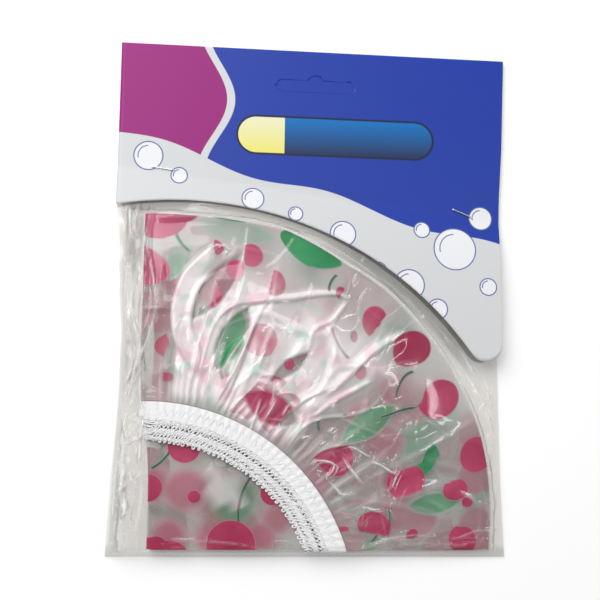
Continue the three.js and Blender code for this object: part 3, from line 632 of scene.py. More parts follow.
def pleat_cells(angle, radius):
    """Angle on the flat film of what shows between pleats, each point's cell, and distances to its pleats.

    The film keeps its scale between the pleats, and what is too much for the elastic hides inside them.
    """
    degrees = np.degrees(angle)
    loose = smooth(CAP_RADIUS - radius, 0, 30)
    bent = degrees + loose * 9 * (value_noise(radius, 1.4 * degrees, 26, 17) - 0.5)
    cell = np.clip(np.searchsorted(PLEATS, bent), 1, len(PLEATS) - 1)
    low, high = PLEATS[cell - 1], PLEATS[cell]
    middle = np.clip((low + high) / 2, 2, 88)
    shown = radius / (2 * CAP_RADIUS - radius)
    return (np.radians(middle + (bent - middle) * shown), cell,
            np.radians(bent - low) * radius, np.radians(high - bent) * radius)


def apex_polar(x, y):
    """Angle and distance of a place from the apex, kept inside the quarter."""
    lx, ly = x - APEX[0], y - APEX[1]
    return np.clip(np.arctan2(ly, lx), 0, math.pi / 2), np.hypot(np.clip(lx, 0, None), np.clip(ly, 0, None))


def gathers(x, y):
    """Height of the gathered front skirt over its flat leaf, its whiteness, where bunched and where sheen and
    light are painted, and its veil.
    """
    dx, dy = x - RING[0], y - RING[1]
    past = np.hypot(dx, dy) - RING_RADIUS
    along = np.arctan2(dy, dx) * RING_RADIUS
    angle, radius = apex_polar(x, y)
    degrees = np.degrees(angle)
    height, white_and_painted_light = np.zeros(x.shape), 0.3 * np.exp(-np.clip(past, 0, None) / 7)
    # Gathers whiten towards their crests: the film lies bunched there, and a sheen on the crests is painted
    # in
    for seed, (pitch, rise, peak) in enumerate(GATHERS):
        drift = 1.3 * pitch * value_noise(along, past, 3.2 * pitch, seed)
        crest = 1 - np.abs(2 * (((along + drift) / pitch) % 1) - 1)
        strength = 0.2 + 1.3 * value_noise(along + 500, past * 0.6, 2.1 * pitch, seed + 20)
        run = np.clip(past, 0, None) / peak
        grown = strength * run * np.exp(1 - run)
        height += rise * grown * crest**1.25
        white_and_painted_light += 0.35 * grown * crest**3
    # Pleats lie like shingles, sharp on one side and soft on the other, and open out towards the arc; their
    # edges whiten as bunched film and as painted highlight
    _, cell, over, under = pleat_cells(angle, radius)
    ways = np.random.RandomState(8).rand(len(PLEATS) + 1) < 0.5
    open_out = 1 - radius / (2 * CAP_RADIUS - radius)
    strength = smooth(value_noise(degrees, radius / 2.5, 11, 33), 0.3, 0.85)
    grown = smooth(past, 1, 10) * strength * smooth(open_out, 0.2, 0.5)
    for away, soft in ((over, ways[cell - 1]), (under, ~ways[cell])):
        height += 1.3 * grown * np.clip(1 - away / np.where(soft, 4.5, 0.8), 0, 1)
        white_and_painted_light += 0.7 * grown * np.clip(1 - away / np.where(soft, 2.2, 0.5), 0, 1)
    # Between the pleats the film is dented into facets, longer from the elastic outwards, with a painted
    # white highlight along some of their rims
    dent = 13.0
    near, next_near = crumple(along, past / 1.8, dent, 44)
    rim = next_near - near
    facets = smooth(past, 4, 18) * smooth(CAP_RADIUS - radius, 4, 26)
    height += facets * (1.3 * np.minimum(near / dent, 0.8) + 0.5 * np.clip(1 - rim / 2.4, 0, 1))
    shows = smooth(value_noise(x, y, 14, 36), 0.35, 0.75)
    white_and_painted_light += 0.5 * facets * shows * np.clip(1 - rim, 0, 1)
    # The windows stay flatter and clearer, and the large folds stand over all of it, whitened as bunched film
    # and as painted sheen
    clear = np.max([lens(x, y, *window) for window in WINDOWS], 0)
    height, white_and_painted_light = height * (1 - 0.6 * clear), white_and_painted_light * (1 - 0.75 * clear)
    for path, left, right, rise, whiteness_and_highlight in FOLDS:
        lifted = ridge(x, y, soften(path), left, right, rise, 1.15)
        height += lifted
        white_and_painted_light += whiteness_and_highlight * smooth(lifted / rise, 0.12, 0.7)
    # Flat film towards the arc and the bottom crease; whiter in the upper sector, partly where most film is
    # bunched and partly as painted light, and less white towards the lower right as painted shade
    calm = smooth(CAP_RADIUS - radius, 0, 14) * (0.35 + 0.65 * smooth(y - APEX[1], 4, 30))
    edge = degrees + 9 * (value_noise(x, y, 16, 35) - 0.5)
    bunched_lit_sector = (smooth(edge, 34, 45) * smooth(-degrees, -86, -83) * smooth(past, 0, 7)
             * smooth(CAP_RADIUS - radius, 9, 30) * (0.75 + 0.5 * value_noise(x, y, 9, 37)))
    # Painted shade: the whiteness falls away towards the lower right, where less light falls
    side = 0.28 + 0.72 * smooth(edge, 26, 46)
    white_and_painted_light = np.clip(white_and_painted_light * side + 0.68 * bunched_lit_sector * (1 - clear), 0, 1)
    # Slack film along the arc looks milky between its print
    veil = smooth(radius, 112, 132) * smooth(degrees, 16, 28) * (0.2 + 0.26 * value_noise(x, y, 12, 40))
    return [np.where(past > 0, part, 0) for part in (height * calm, white_and_painted_light, veil)]


def film_place(x, y, on_crown=False, way=1):
    """Place on the flat film of a point of the front quarter, or with way -1 of the quarter behind it."""
    angle, radius = apex_polar(np.array(x, float), np.array(y, float))
    radius = radius - swell(angle, radius)
    if not on_crown:
        angle, radius = pleat_cells(angle, radius)[0], 2 * CAP_RADIUS - radius
    turn = 1.5 * math.pi + way * angle
    return np.array([radius * np.cos(turn), radius * np.sin(turn)])


# Cherries and dots: x, y, radius. Leaves: x, y, turn, length, width. Stems: start, end, sag.
SKIRT_PRINT = {
    "cherry": ((-57.5, 32.0, 9.6), (-50.0, 36.2, 6.5), (-62.5, 11.8, 9.2), (-57.8, -21.4, 5.3),
               (-40.7, -1.0, 5.7), (26.3, -9.2, 5.7), (42.5, -21.6, 8.4),
               (53.2, -40.0, 8.6), (69.8, -64.2, 7.2), (39.3, -75.5, 7.6), (26.0, -93.3, 7.0),
               (12.8, -95.8, 3.1),
               (-17.5, -44.0, 11.0), (-26.5, -43.0, 8.0), (-12.5, -48.5, 9.5), (8.5, -64.0, 7.8),
               (60.7, -78.6, 5.3), (63.6, -98.8, 6.1), (-24.6, 16.7, 4.8),
               (-38.4, 19.5, 3.4), (-29.8, 10.0, 4.4), (-15.5, 5.0, 5.0), (-20.5, -19.0, 6.6)),
    "dot": ((12.1, 2.0, 2.5), (20.4, -31.0, 2.4), (-9.1, -28.6, 2.5), (42.0, -97.2, 2.6), (-52.9, -35.0, 2.0),
            (17.6, -16.0, 1.8), (65.7, -83.8, 2.5)),
    "leaf": ((-0.2, 21.2, -0.45, 29.0, 16.0), (-31.0, -26.9, 1.2, 20.0, 7.0), (49.1, -66.9, 0.8, 20.0, 9.0)),
    "stem": (((-52.0, 31.0), (-47.0, 17.8), 1.2), ((8.2, -12.6), (15.3, -25.3), 1.5),
             ((42.9, -30.0), (35.4, -40.9), 1.5), ((47.5, -42.0), (28.5, -49.5), 1.8),
             ((-60.0, -40.1), (-56.0, -37.6), 0.5), ((13.8, -48.2), (3.1, -55.6), 1.2),
             ((25.0, -100.0), (32.3, -86.8), 1.5), ((10.2, 9.6), (6.9, 2.4), 0.8)),
}
CROWN_PRINT = {
    "cherry": ((5.0, -6.4, 6.5), (-19.2, -18.7, 7.2), (-63.8, -78.8, 5.7), (-32.1, -101.8, 10.0),
               (-49.6, -63.4, 6.1), (-15.7, -81.0, 4.9), (-61.9, -102.7, 4.9)),
    "dot": ((-66.0, 11.8, 2.3), (-46.5, -82.8, 2.7)),
    "leaf": ((-33.5, -17.5, 1.3, 28.0, 15.0), (-50.5, 16.5, 1.35, 24.0, 8.0), (-31.0, 27.0, -0.2, 34.0, 10.0),
             (23.2, -52.5, 0.6, 26.0, 11.0), (51.8, -84.5, 0.1, 22.0, 9.0)),
    "stem": (((-28.2, -97.6), (-23.4, -73.7), 3.0), ((-53.7, -62.1), (-62.0, -71.0), 1.2),
             ((47.0, -50.2), (61.3, -52.9), 1.5)),
}
BEHIND_CROWN_PRINT = {
    "cherry": ((-38.0, 4.0, 11.0), (-50.0, -80.0, 10.0), (-56.5, -98.0, 8.0), (-14.0, -91.0, 7.5),
               (35.0, -88.0, 8.0), (30.0, -60.0, 8.0)),
    "dot": (), "leaf": ((-31.0, -86.5, 0.9, 27.0, 18.0), (47.0, -56.0, 0.9, 24.0, 11.0)), "stem": (),
}


def round_the_folds(counts):
    """Columns once round the four quarters, to and fro between the creases, and round each fold."""
    steps = 4  # columns round half a fold
    turns, level = np.linspace(1, 0, steps, endpoint=False), np.zeros(steps)
    parts = []
    for quarter, count in enumerate(counts):
        still = np.zeros(count + steps)
        share = np.concatenate([level, np.linspace(0, 1, count), np.ones(steps)])
        left, bottom = np.concatenate([turns, still]), np.concatenate([still, turns[::-1]])
        run = np.stack([np.full(share.shape, quarter), share, left, bottom])
        # The outermost column of a fold belongs to both quarters, so each quarter leaves out its last
        parts.append((run[:, ::-1] if quarter % 2 else run)[:, :-1])
    columns = np.concatenate([*parts, parts[0][:, :1]], 1)
    return columns[0].astype(int), *columns[1:]


def turned(x, y, z, left, bottom, left_z, bottom_z, left_reach, bottom_reach):
    """Bends points at the creases: out by the reach, and down or up to half way to the leaf they join."""
    half = math.pi / 2
    middle = np.where(left > 0, (z + left_z) / 2, (z + bottom_z) / 2)
    bent = middle + (z - middle) * np.cos(half * np.maximum(left, bottom))
    return np.stack([x - left_reach * np.sin(half * left), y - bottom_reach * np.sin(half * bottom),
                     bent], -1)


def leaf_z(quarter, on_crown, angle, radius, lift):
    """Height of a leaf of the film, with the front skirt lifted and the back skirt sunk by its gathers."""
    leaf = np.where(on_crown, CROWN_LEAF[quarter], SKIRT_LEAF[quarter])
    ring = ring_reach(angle, RING_RADIUS)
    share = np.clip((CAP_RADIUS - radius) / (CAP_RADIUS - ring), 0, 1)
    level = CAP_FLOOR + leaf * LEAF_PITCH + share * (OUTER_TRIM + np.where(leaf > 3, INNER_TRIM, 0))
    return level + np.where(leaf == 7, lift, 0) - np.where(leaf == 0, np.minimum(lift, 0.8 * share), 0)


def cap_film(material):
    """One round film, over the crown to the arc and back over the skirt to the sewn hem, folded in four."""
    quarter, share, left, bottom = round_the_folds((70, 60, 60, 300))
    crown, skirt = np.linspace(0, 1, 26)[:, None], np.linspace(0, 1, 112)[:, None]
    angle = math.pi / 2 * (1 - share)
    hem = ring_reach(angle, RING_RADIUS - ELASTIC_WIDTH + 1)
    radius = np.concatenate([CAP_RADIUS * crown + 0 * angle, CAP_RADIUS - skirt * (CAP_RADIUS - hem)])
    on_crown = np.repeat([True, False], [len(crown), len(skirt)])[:, None]
    quarter, left, bottom, angle, _ = np.broadcast_arrays(quarter, left, bottom, angle, radius)
    x, y = APEX[0] + radius * np.cos(angle), APEX[1] + radius * np.sin(angle)
    lift, milk, veil = (np.where(on_crown, 0, part) for part in gathers(x, y))
    z = leaf_z(quarter, on_crown, angle, radius, lift)
    # The loose crown dimples a little inside the elastic
    dimple = 0.7 * (value_noise(x, y, 17, 41) - 0.5) * smooth(radius, 4, 20)
    z = z + np.where(on_crown & (quarter == FRONT_QUARTER), np.minimum(dimple, 0.2), 0)
    outside = (quarter == 0) | (quarter == FRONT_QUARTER)
    left_reach = np.where(outside, np.where(on_crown, 1.9, 2.3) + lean(radius), np.where(on_crown, 1.5, 1.1))
    joined = [leaf_z(partner[quarter], on_crown, angle, radius, lift)
              for partner in (LEFT_PARTNER, BOTTOM_PARTNER)]
    points = turned(x, y, z, left, bottom, *joined, left_reach, np.where(on_crown, 0.2, 0.6))
    stands = swell(angle, radius)
    points[..., 0] += stands * np.cos(angle)
    points[..., 1] += stands * np.sin(angle)

    # Place on the flat film; the film that bulges past the crease is drawn from the film beside it
    shown = np.where(on_crown, angle, pleat_cells(angle, radius)[0])
    flat_radius = np.where(on_crown, radius, 2 * CAP_RADIUS - radius)
    near = np.exp(-radius * (math.pi / 2 - angle) / 25) * (1 - left)
    drawn = 1.2 * left_reach / np.maximum(flat_radius, 20) * near
    odd = quarter % 2
    flat_turn = math.pi / 2 * (quarter + odd) + np.where(odd, 1, -1) * (shown - math.pi / 2 * odd - drawn)
    flat_turn = flat_turn + np.where(odd, 0, math.pi / 2)
    flat = np.stack([flat_radius * np.cos(flat_turn), flat_radius * np.sin(flat_turn)], -1)
    # How blurred a leaf's print looks from outside
    leaf = np.where(on_crown, CROWN_LEAF[quarter], SKIRT_LEAF[quarter])
    depth = np.minimum(leaf, 7 - leaf)
    open_ring = np.hypot(x - RING[0], y - RING[1]) < RING_RADIUS - ELASTIC_WIDTH
    haze = np.choose(depth, [0.35, np.where(open_ring, 0.3, 1.2), np.where(open_ring, 5.0, 2.4), 3.6])
    front = np.where((quarter == FRONT_QUARTER) & (leaf > 5), 1.0, 0.0)
    # A slack patch of the crown touches the bag and looks white
    slack = 0.52 * lens(x, y, -34.7, -78.3, -48, 23, 13) * np.where(leaf == 6, 1, 0)
    milk = np.where(depth == 0, milk, np.where(on_crown, slack, 0.3 * milk))
    outer = np.where((depth == 0) | (open_ring & (depth == 1)), 1.0, 0.1)
    mesh = sheet_mesh("cap_film_sheet", points, flat, merge_rows=1, haze=haze, milk=milk,
                      veil=np.where(depth == 0, veil, 0), front=front, outer=outer)
    obj = piece("cap_film_sheet", mesh, "cap", "milky_film", material)
    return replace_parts(obj, "cap_film")


def ring_points(columns, radius, rise=0.0):
    """Points along the sewn ring at a radius, folded with the film, with a rise out of the tape."""
    quarter, share, left, bottom = columns
    start = np.arccos(-RING_OFFSET[0] / radius)
    end = np.arcsin(-RING_OFFSET[1] / radius)
    angle = start + (end - start) * share
    x, y = RING[0] + radius * np.cos(angle), RING[1] + radius * np.sin(angle)
    out = np.where(quarter % 2, 1.0, -1.0)
    level = ELASTIC_LEVELS + ELASTIC_WALL / 2
    z = level[quarter] + out * rise
    outside = (quarter == 0) | (quarter == FRONT_QUARTER)
    left_reach = np.where(outside, 2.4 + lean(np.hypot(x - APEX[0], y - APEX[1])), 0.5)
    return turned(x, y, z, left, bottom, level[LEFT_PARTNER[quarter]] - out * rise,
                  level[BOTTOM_PARTNER[quarter]] - out * rise, left_reach, 1.2)


def ring_run(columns, radius):
    """Length along the sewn ring up to each of its columns."""
    steps = np.hypot(*np.diff(ring_points(columns, radius)[:, :2], axis=0).T)
    return np.cumsum(np.concatenate([[0], steps]))


def elastic_tape(material):
    """The woven tape, puckered a little by the gathers under it."""
    columns = round_the_folds((120, 80, 80, 260))
    rows = np.linspace(RING_RADIUS - ELASTIC_WIDTH, RING_RADIUS, 12)
    along = ring_run(columns, RING_RADIUS)
    pucker = 0.16 * np.sin(2 * math.pi * along / 3.4) + 0.2 * (value_noise(along, 0, 5, 61) - 0.5)
    bands = [ring_points(columns, r, pucker * (0.4 + 0.6 * (r - rows[0]) / ELASTIC_WIDTH)) for r in rows]
    flat = np.stack(np.broadcast_arrays(along[None, :], rows[:, None]), -1)
    mesh = sheet_mesh("elastic_tape", np.stack(bands), flat, merge_rows=len(rows))
    obj = piece("elastic_tape", mesh, "cap", "elastic", material)
    wall = obj.modifiers.new("tape_thickness", "SOLIDIFY")
    wall.thickness, wall.offset = ELASTIC_WALL * MM, 0
    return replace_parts(obj, "elastic_band")


LACE_ROWS = (  # inset from the tape, sway, pitch and number of strands
    (0.3, 0.3, 1.9, 2), (1.1, 0.5, 1.7, 3), (2.7, 0.85, 3.4, 2), (4.0, 0.5, 1.6, 3), (4.9, 0.55, 1.9, 3),
    (6.3, 0.8, 2.9, 2), (7.4, 0.45, 1.7, 2))


def lace(material):
    """Crocheted edge: dense rows of crossing yarns, two open rows of holes and a frill of picot loops."""
    columns = round_the_folds((300, 40, 40, 440))
    quarter, share, left, bottom = columns
    middle = RING_RADIUS - ELASTIC_WIDTH - LACE_WIDTH / 2
    along = ring_run(columns, middle)
    inner_edge = RING_RADIUS - ELASTIC_WIDTH
    paths = []
    for row, (inset, sway, pitch, strands) in enumerate(LACE_ROWS):
        for strand in range(strands):
            seed = 70 + 5 * row + strand
            jitter = 0.7 * (value_noise(along, 0, 1.3, seed) - 0.5)
            drift = 0.3 * value_noise(along, 0, 9, seed + 50)
            turn = 2 * math.pi * (along / pitch + strand / strands + drift)
            lift = 0.3 * np.cos(turn) + 0.35 * jitter
            at = inner_edge - inset - sway * np.sin(turn) - jitter
            paths.append((ring_points(columns, at, lift)[:-1], True))
    loop = 0.45 + 0.75 * value_noise(along, 0, 2.2, 93)
    turn = 2 * math.pi * (along / 2.2 + 0.9 * value_noise(along, 0, 5.0, 94))
    slide = 1.25 * loop * np.sin(turn) / (middle * 1.2)
    slid = np.clip(share + slide * ((left + bottom) == 0), 0, 1)
    curl = inner_edge - 8.1 - loop * np.cos(turn) - 0.5 * (value_noise(along, 0, 2.5, 90) - 0.5)
    paths.append((ring_points((quarter, slid, left, bottom), curl, 0.35 * np.sin(turn))[:-1], True))
    obj = piece("lace_openwork", thread_mesh("lace_openwork", paths, YARN_RADIUS), "cap", "lace", material)
    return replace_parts(obj, "lace_edging")


def zigzag(name, node_name, quarter, material):
    """A zigzag of sewing thread along the middle of the tape, on one quarter."""
    corner = np.arange(STITCH_CORNERS)
    fine = np.linspace(0, STITCH_CORNERS - 1, 6 * STITCH_CORNERS)
    share = np.interp(fine, corner, np.linspace(0.02, 0.98, STITCH_CORNERS))
    sway = np.interp(fine, corner, np.where(corner % 2, STITCH_SWAY, -STITCH_SWAY))
    still = np.zeros(share.shape)
    columns = (np.full(share.shape, quarter), share, still, still)
    # Stitch ends dip into the tape
    rise = 0.34 - 0.1 * np.cos(math.pi * fine) ** 2
    points = ring_points(columns, RING_RADIUS - ELASTIC_WIDTH / 2 + sway, rise)
    obj = piece(name, thread_mesh(name, [(points, False)], THREAD_RADIUS), "cap", "thread", material)
    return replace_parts(obj, node_name)


# The header card

def card_foot():
    """Lower edge of the card: the arc that follows the cap, then the rounded lobe."""
    t = np.linspace(0, 1, 16)[1:]
    turn = np.linspace(math.acos((-HALF_WIDTH - ARC[0]) / ARC_RADIUS), LOBE_START, 90)
    arc = ARC + ARC_RADIUS * np.stack([np.cos(turn), np.sin(turn)], 1)
    lobe = arc[-1]
    low = lobe[1] - LOBE_DROP
    knots = [(lobe, (lobe[0] + LOBE_DROP * math.tan(LOBE_START), low), (HALF_WIDTH - LOBE_HALF, low)),
             ((HALF_WIDTH - LOBE_HALF, low), (HALF_WIDTH, low), (HALF_WIDTH, low + LOBE_CORNER))]
    bends = [np.outer((1 - t) ** 2, a) + np.outer(2 * t * (1 - t), b) + np.outer(t**2, c)
             for a, b, c in knots]
    return np.vstack([arc, *bends])


FOOT = card_foot()
# How far the sides of the pack are drawn in: y, distance
LEFT_EDGE = ((-106.6, 0.0), (-76, 1.2), (-52, 2.8), (-41, 3.3), (-15, 3.5), (2, 2.2), (38, 0.0), (106.6, 0.0))
RIGHT_EDGE = ((-106.6, 0.3), (-75, 1.8), (-43, 2.6), (-21, 3.0), (18, 2.8), (45, 2.2), (67, 1.0),
              (106.6, 0.0))


def drawn_in(x, y):
    """X of a point once the sides of the pack are drawn in by the full bag, as they are in the photograph."""
    left = np.interp(y, *np.array(LEFT_EDGE).T) * smooth(-x, 66, HALF_WIDTH)
    right = np.interp(y, *np.array(RIGHT_EDGE).T) * smooth(x, 66, HALF_WIDTH)
    return x + left - right


def panel_back(x, y):
    """Height of the front panel's back: flat above the staples, lifting below them over the full bag."""
    (lx, ly, _), (rx, ry, _) = STAPLES
    below = ly + (ry - ly) / (rx - lx) * (x - lx) - CLAMP_MARGIN - y
    return PANEL_FLOOR + PANEL_LIFT * (1 - np.exp(-np.clip(below, 0, None) / PANEL_RUN))


def card_cutter():
    """Plugs that cut the card: the hang slot, with a bump over its middle, and what the staples lie in."""
    half, end, bump = SLOT_WIDTH / 2 + SLOT_GAP, SLOT_HEIGHT / 2 + SLOT_GAP, SLOT_BUMP + SLOT_GAP
    sunk = 0.4  # depth of the bump's centre under the slot's top, over its radius
    shoulder = math.asin(sunk)
    arcs = ((half - end, 0, end, -math.pi / 2, math.pi / 2),
            (0, end - bump * sunk, bump, shoulder, math.pi - shoulder),
            (end - half, 0, end, math.pi / 2, 3 * math.pi / 2))
    bm = bmesh.new()
    verts = [bm.verts.new(((cx + r * math.cos(a)) * MM, (SLOT_MIDDLE + cy + r * math.sin(a)) * MM, -MM))
             for cx, cy, r, a0, a1 in arcs for a in np.linspace(a0, a1, 14)]
    foot = bm.faces.new(verts)
    top = bmesh.ops.extrude_face_region(bm, geom=[foot])["geom"]
    bmesh.ops.translate(bm, verts=[v for v in top if isinstance(v, bmesh.types.BMVert)], vec=(0, 0, 6 * MM))
    for x, y, tilt in STAPLES:
        turn = Matrix.Translation((x * MM, y * MM, 0)) @ Matrix.Rotation(math.radians(tilt), 4, "Z")
        sink = turn @ Matrix.Diagonal((*(side * MM for side in STAPLE_SINK), 1))
        bmesh.ops.create_cube(bm, size=1, matrix=sink)
    bmesh.ops.recalc_face_normals(bm, faces=bm.faces)
    return linked("card_cutter", mesh_from(bm, "card_cutter"))


def header_card(*materials):
    """One card, folded over the bag's mouth: the back panel, the fold and the lifted front panel."""
    corner = 18.5  # width of the lobe, meshed closer towards its side
    finer = corner * np.linspace(1, 0, 26)[1:] ** 1.6
    x = np.concatenate([np.linspace(-HALF_WIDTH, HALF_WIDTH - corner, 92), HALF_WIDTH - finer])
    foot = np.interp(x, FOOT[:, 0], FOOT[:, 1])
    spine = (PANEL_FLOOR + CARD_WALL) / 2
    top = HALF_HEIGHT - spine
    down = np.linspace(0, 1, 76)[:, None]
    y_front = top + (foot - top) * down
    z_front = panel_back(x, y_front) + CARD_WALL
    z_front = z_front + 0.5 * (value_noise(x + 0 * y_front, y_front, 38, 12) - 0.5) * smooth(down, 0.45, 1)
    up = np.linspace(0, 1, 30)[:, None]
    y_back = foot + (top - foot) * up
    bend = np.linspace(-math.pi / 2, math.pi / 2, 11)[1:-1, None]
    y_bend, z_bend = top + spine * np.cos(bend) + 0 * x, spine + spine * np.sin(bend) + 0 * x
    y = np.vstack([y_back, y_bend, y_front])
    z = np.vstack([0 * y_back, z_bend, z_front])
    points = np.stack([drawn_in(x + 0 * y, y), y, z], -1)
    mesh = sheet_mesh("folded_header_card", points)
    mesh.flip_normals()
    obj = piece("folded_header_card", mesh, "pack", "printed_card", *materials)
    wall = obj.modifiers.new("card_thickness", "SOLIDIFY")
    wall.thickness, wall.offset = CARD_WALL * MM, -1
    wall.material_offset, wall.material_offset_rim = 1, 1
    cutter = card_cutter()
    cut = obj.modifiers.new("slot", "BOOLEAN")
    cut.operation, cut.solver, cut.object = "DIFFERENCE", "EXACT", cutter
    done = finished_mesh(obj)
    obj.modifiers.clear()
    obj.data = done
    bpy.data.objects.remove(cutter)
    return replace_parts(obj, "header_card")


# The bag

def cap_top(x, y):
    """Highest point of the cap at a place, or nothing beside it."""
    angle, out = apex_polar(x, y)
    past = np.hypot(x - RING[0], y - RING[1]) - RING_RADIUS
    stands = swell(angle, out)
    skirt = leaf_z(np.full(x.shape, FRONT_QUARTER), False, angle, out - stands, gathers(x, y)[0])
    inside = (x - APEX[0] > -7.0) & (y - APEX[1] > -1.8) & (out < CAP_RADIUS + 0.8 + stands)
    trim = ELASTIC_LEVELS[FRONT_QUARTER] + ELASTIC_WALL + 0.55
    return np.where(inside, np.where(past > 0, skirt, trim), -1.0)


def fallen(height, x, y, slope):
    """A film over a height map falls away from its high places no steeper than the slope."""
    height = height.copy()
    dx, dy = slope * np.diff(x)[None, :], slope * np.diff(y)[:, None]
    for _ in range(34):
        height[:, 1:] = np.maximum(height[:, 1:], height[:, :-1] - dx)
        height[:, :-1] = np.maximum(height[:, :-1], height[:, 1:] - dx)
        height[1:] = np.maximum(height[1:], height[:-1] - dy)
        height[:-1] = np.maximum(height[:-1], height[1:] - dy)
    return height


def draped(height, x, y, bend):
    """A film over a height map spans from one high place to the next, bent with that radius."""
    for axis, at in ((1, x), (0, y)):
        best = height.copy()
        for step in range(1, 40):
            drop = (at[step:] - at[:-step]) ** 2 / (2 * bend)
            drop = drop[None, :] if axis else drop[:, None]
            ahead, back = (height[:, step:], height[:, :-step]) if axis else (height[step:], height[:-step])
            low, high = (best[:, :-step], best[:, step:]) if axis else (best[:-step], best[step:])
            np.maximum(low, ahead - drop, out=low)
            np.maximum(high, back - drop, out=high)
        height = best
    return height


def blurred(height, rounds):
    """A height map smoothed over its neighbours, round after round."""
    for _ in range(rounds):
        padded = np.pad(height, 1, mode="edge")
        height = (padded[:-2, 1:-1] + padded[2:, 1:-1] + padded[1:-1, :-2] + padded[1:-1, 2:]
                  + 4 * height) / 8
    return height


CREASES = (  # sharp creases that stand out in the film, as paths
    ((11.8, -63.5), (14.1, -69.0), (17.8, -73.1), (21.2, -77.9)),
    ((11.8, -63.5), (12.8, -61.9), (16.7, -61.4), (19.8, -63.4), (23.4, -65.6), (27.2, -63.3)),
    ((27.2, -63.3), (24.4, -67.3), (28.9, -68.9), (32.2, -71.4), (34.5, -72.0), (35.3, -69.7), (32.6, -67.7)),
    ((-0.2, -71.6), (0.4, -68.0), (3.0, -66.8), (9.2, -68.0), (8.6, -71.2), (5.9, -74.4)),
    ((5.9, -74.4), (10.3, -78.7), (11.4, -80.7), (16.9, -80.3)),
    ((20.9, -88.3), (21.9, -85.5), (25.8, -87.0), (30.2, -86.0)),
    ((-5.2, -58.9), (-2.8, -57.2), (-0.4, -57.6)), ((2.9, -60.8), (5.8, -59.1)), ((6.2, -55.9), (9.4, -53.5)),
    ((-45.4, 14.8), (-41.9, 20.7), (-37.0, 20.8), (-35.7, 18.0), (-39.7, 15.4)),
    ((36.8, -70.5), (34.3, -74.6), (32.7, -79.4)),
    ((-78.6, -74.7), (-76.0, -71.5), (-77.0, -67.6)), ((-79.0, -81.3), (-76.2, -78.2), (-75.5, -74.2)))


def crinkles(x, y):
    """Sharp creases of the bag's film, in families that follow how it is strained, and their whiteness:
    partly the film whitening where creased, partly painted glints.
    """
    draw = np.random.RandomState(23)
    height, crease = np.zeros(x.shape), np.zeros(x.shape)

    def raise_crease(path, width, rise, whiteness_and_highlight):
        lifted = ridge(x, y, path, width, width * draw.uniform(0.35, 1.0), rise)
        height[:] += lifted
        crease[:] = np.maximum(crease, whiteness_and_highlight * smooth(lifted / rise, 0.45, 0.95))

    def family(count, box, heading, spread, length, width, rise, whiteness_and_highlight=0.12):
        for _ in range(count):
            cx, cy = draw.uniform(box[0], box[1]), draw.uniform(box[2], box[3])
            base = heading(cx, cy) if callable(heading) else heading
            turn = math.radians(base + draw.normal(0, spread))
            reach = draw.uniform(*length) / 2
            bow = draw.normal(0, 0.12) * reach
            d = np.array([math.cos(turn), math.sin(turn)])
            n = np.array([-d[1], d[0]])
            path = [np.array([cx, cy]) + s * reach * d + (1 - s * s) * bow * n for s in (-1, -0.5, 0, 0.5, 1)]
            raise_crease(path, draw.uniform(*width), draw.uniform(*rise), whiteness_and_highlight * draw.uniform(0.2, 2.2))

    def from_ring(cx, cy):
        return math.degrees(math.atan2(cy - RING[1], cx - RING[0]))

    family(30, (-80, -67, -104, 38), 90, 8, (18, 60), (1.0, 2.6), (0.8, 2.0), 0.25)
    family(20, (-81, -66, -106, -50), 85, 35, (6, 22), (0.9, 2.4), (0.6, 1.7), 0.25)
    family(14, (-79, -69, -40, 34), 90, 5, (16, 44), (0.7, 1.7), (0.9, 2.2), 0.3)
    family(9, (-79, -68, -98, -60), 90, 7, (14, 40), (1.0, 2.2), (1.0, 2.2), 0.5)
    family(16, (-62, 40, -40, 26), from_ring, 16, (10, 34), (0.7, 1.6), (0.2, 0.5))
    family(16, (71, 80, -104, -20), 90, 10, (14, 50), (0.9, 2.2), (0.4, 1.1), 0.15)
    family(26, (8, 40, -82, -56), 45, 60, (4, 13), (0.5, 1.0), (0.25, 0.6))
    family(10, (14, 34, -94, -84), 30, 60, (4, 12), (0.5, 1.0), (0.25, 0.6))
    family(12, (-60, 76, -100, 20), 20, 70, (8, 30), (0.8, 2.0), (0.1, 0.3))
    family(26, (-62, 78, -105, -98), 3, 8, (12, 45), (0.7, 1.6), (0.25, 0.7))
    # The listed creases are drawn white, as painted glints
    for path in CREASES:
        raise_crease(soften(path), 1.0, 0.8, 0.9)
        raise_crease(soften(np.array(path) + (1.4, -0.7)), 0.8, 0.5, 0.6)
    # Lines where the film turns down along the cap's arc, and short tucks between it and the card's; their
    # white is partly painted highlight
    turn = np.linspace(math.radians(14), math.radians(89), 60)
    for out, rise, whiteness_and_highlight in ((0.9, 0.6, 0.45), (3.6, 0.5, 0.2)):
        reach = CAP_RADIUS + out + swell(turn, CAP_RADIUS) + 0.8 * (value_noise(turn * 60, 0, 7, 38) - 0.5)
        raise_crease(APEX + reach[:, None] * np.stack([np.cos(turn), np.sin(turn)], 1), 2.0, rise, whiteness_and_highlight)
    for _ in range(40):
        at = math.radians(draw.uniform(10, 92))
        out = ARC_RADIUS - draw.uniform(-1, 7)
        bend = math.radians(draw.uniform(2.0, 7.0))
        slip = draw.normal(0, 0.9) * (1 if draw.rand() < 0.8 else 3)
        path = [ARC + (out + slip * s) * np.array([math.cos(at + s * bend), math.sin(at + s * bend)])
                for s in (-1, -0.5, 0, 0.5, 1)]
        raise_crease(path, draw.uniform(1.1, 2.1), draw.uniform(0.4, 1.0), draw.choice([0.0, 0.0, 0.2, 0.6]))
    return height, crease


def spread(start, end, count, dense, ratio):
    """Positions from start to end, closer together by the ratio inside the dense range."""
    fine = np.linspace(start, end, 4000)
    weight = 1 + (ratio - 1) * smooth(fine, dense[0] - 6, dense[0]) * smooth(-fine, -dense[1] - 6, -dense[1])
    total = np.cumsum(weight)
    return np.interp(np.linspace(total[0], total[-1], count), total, fine)


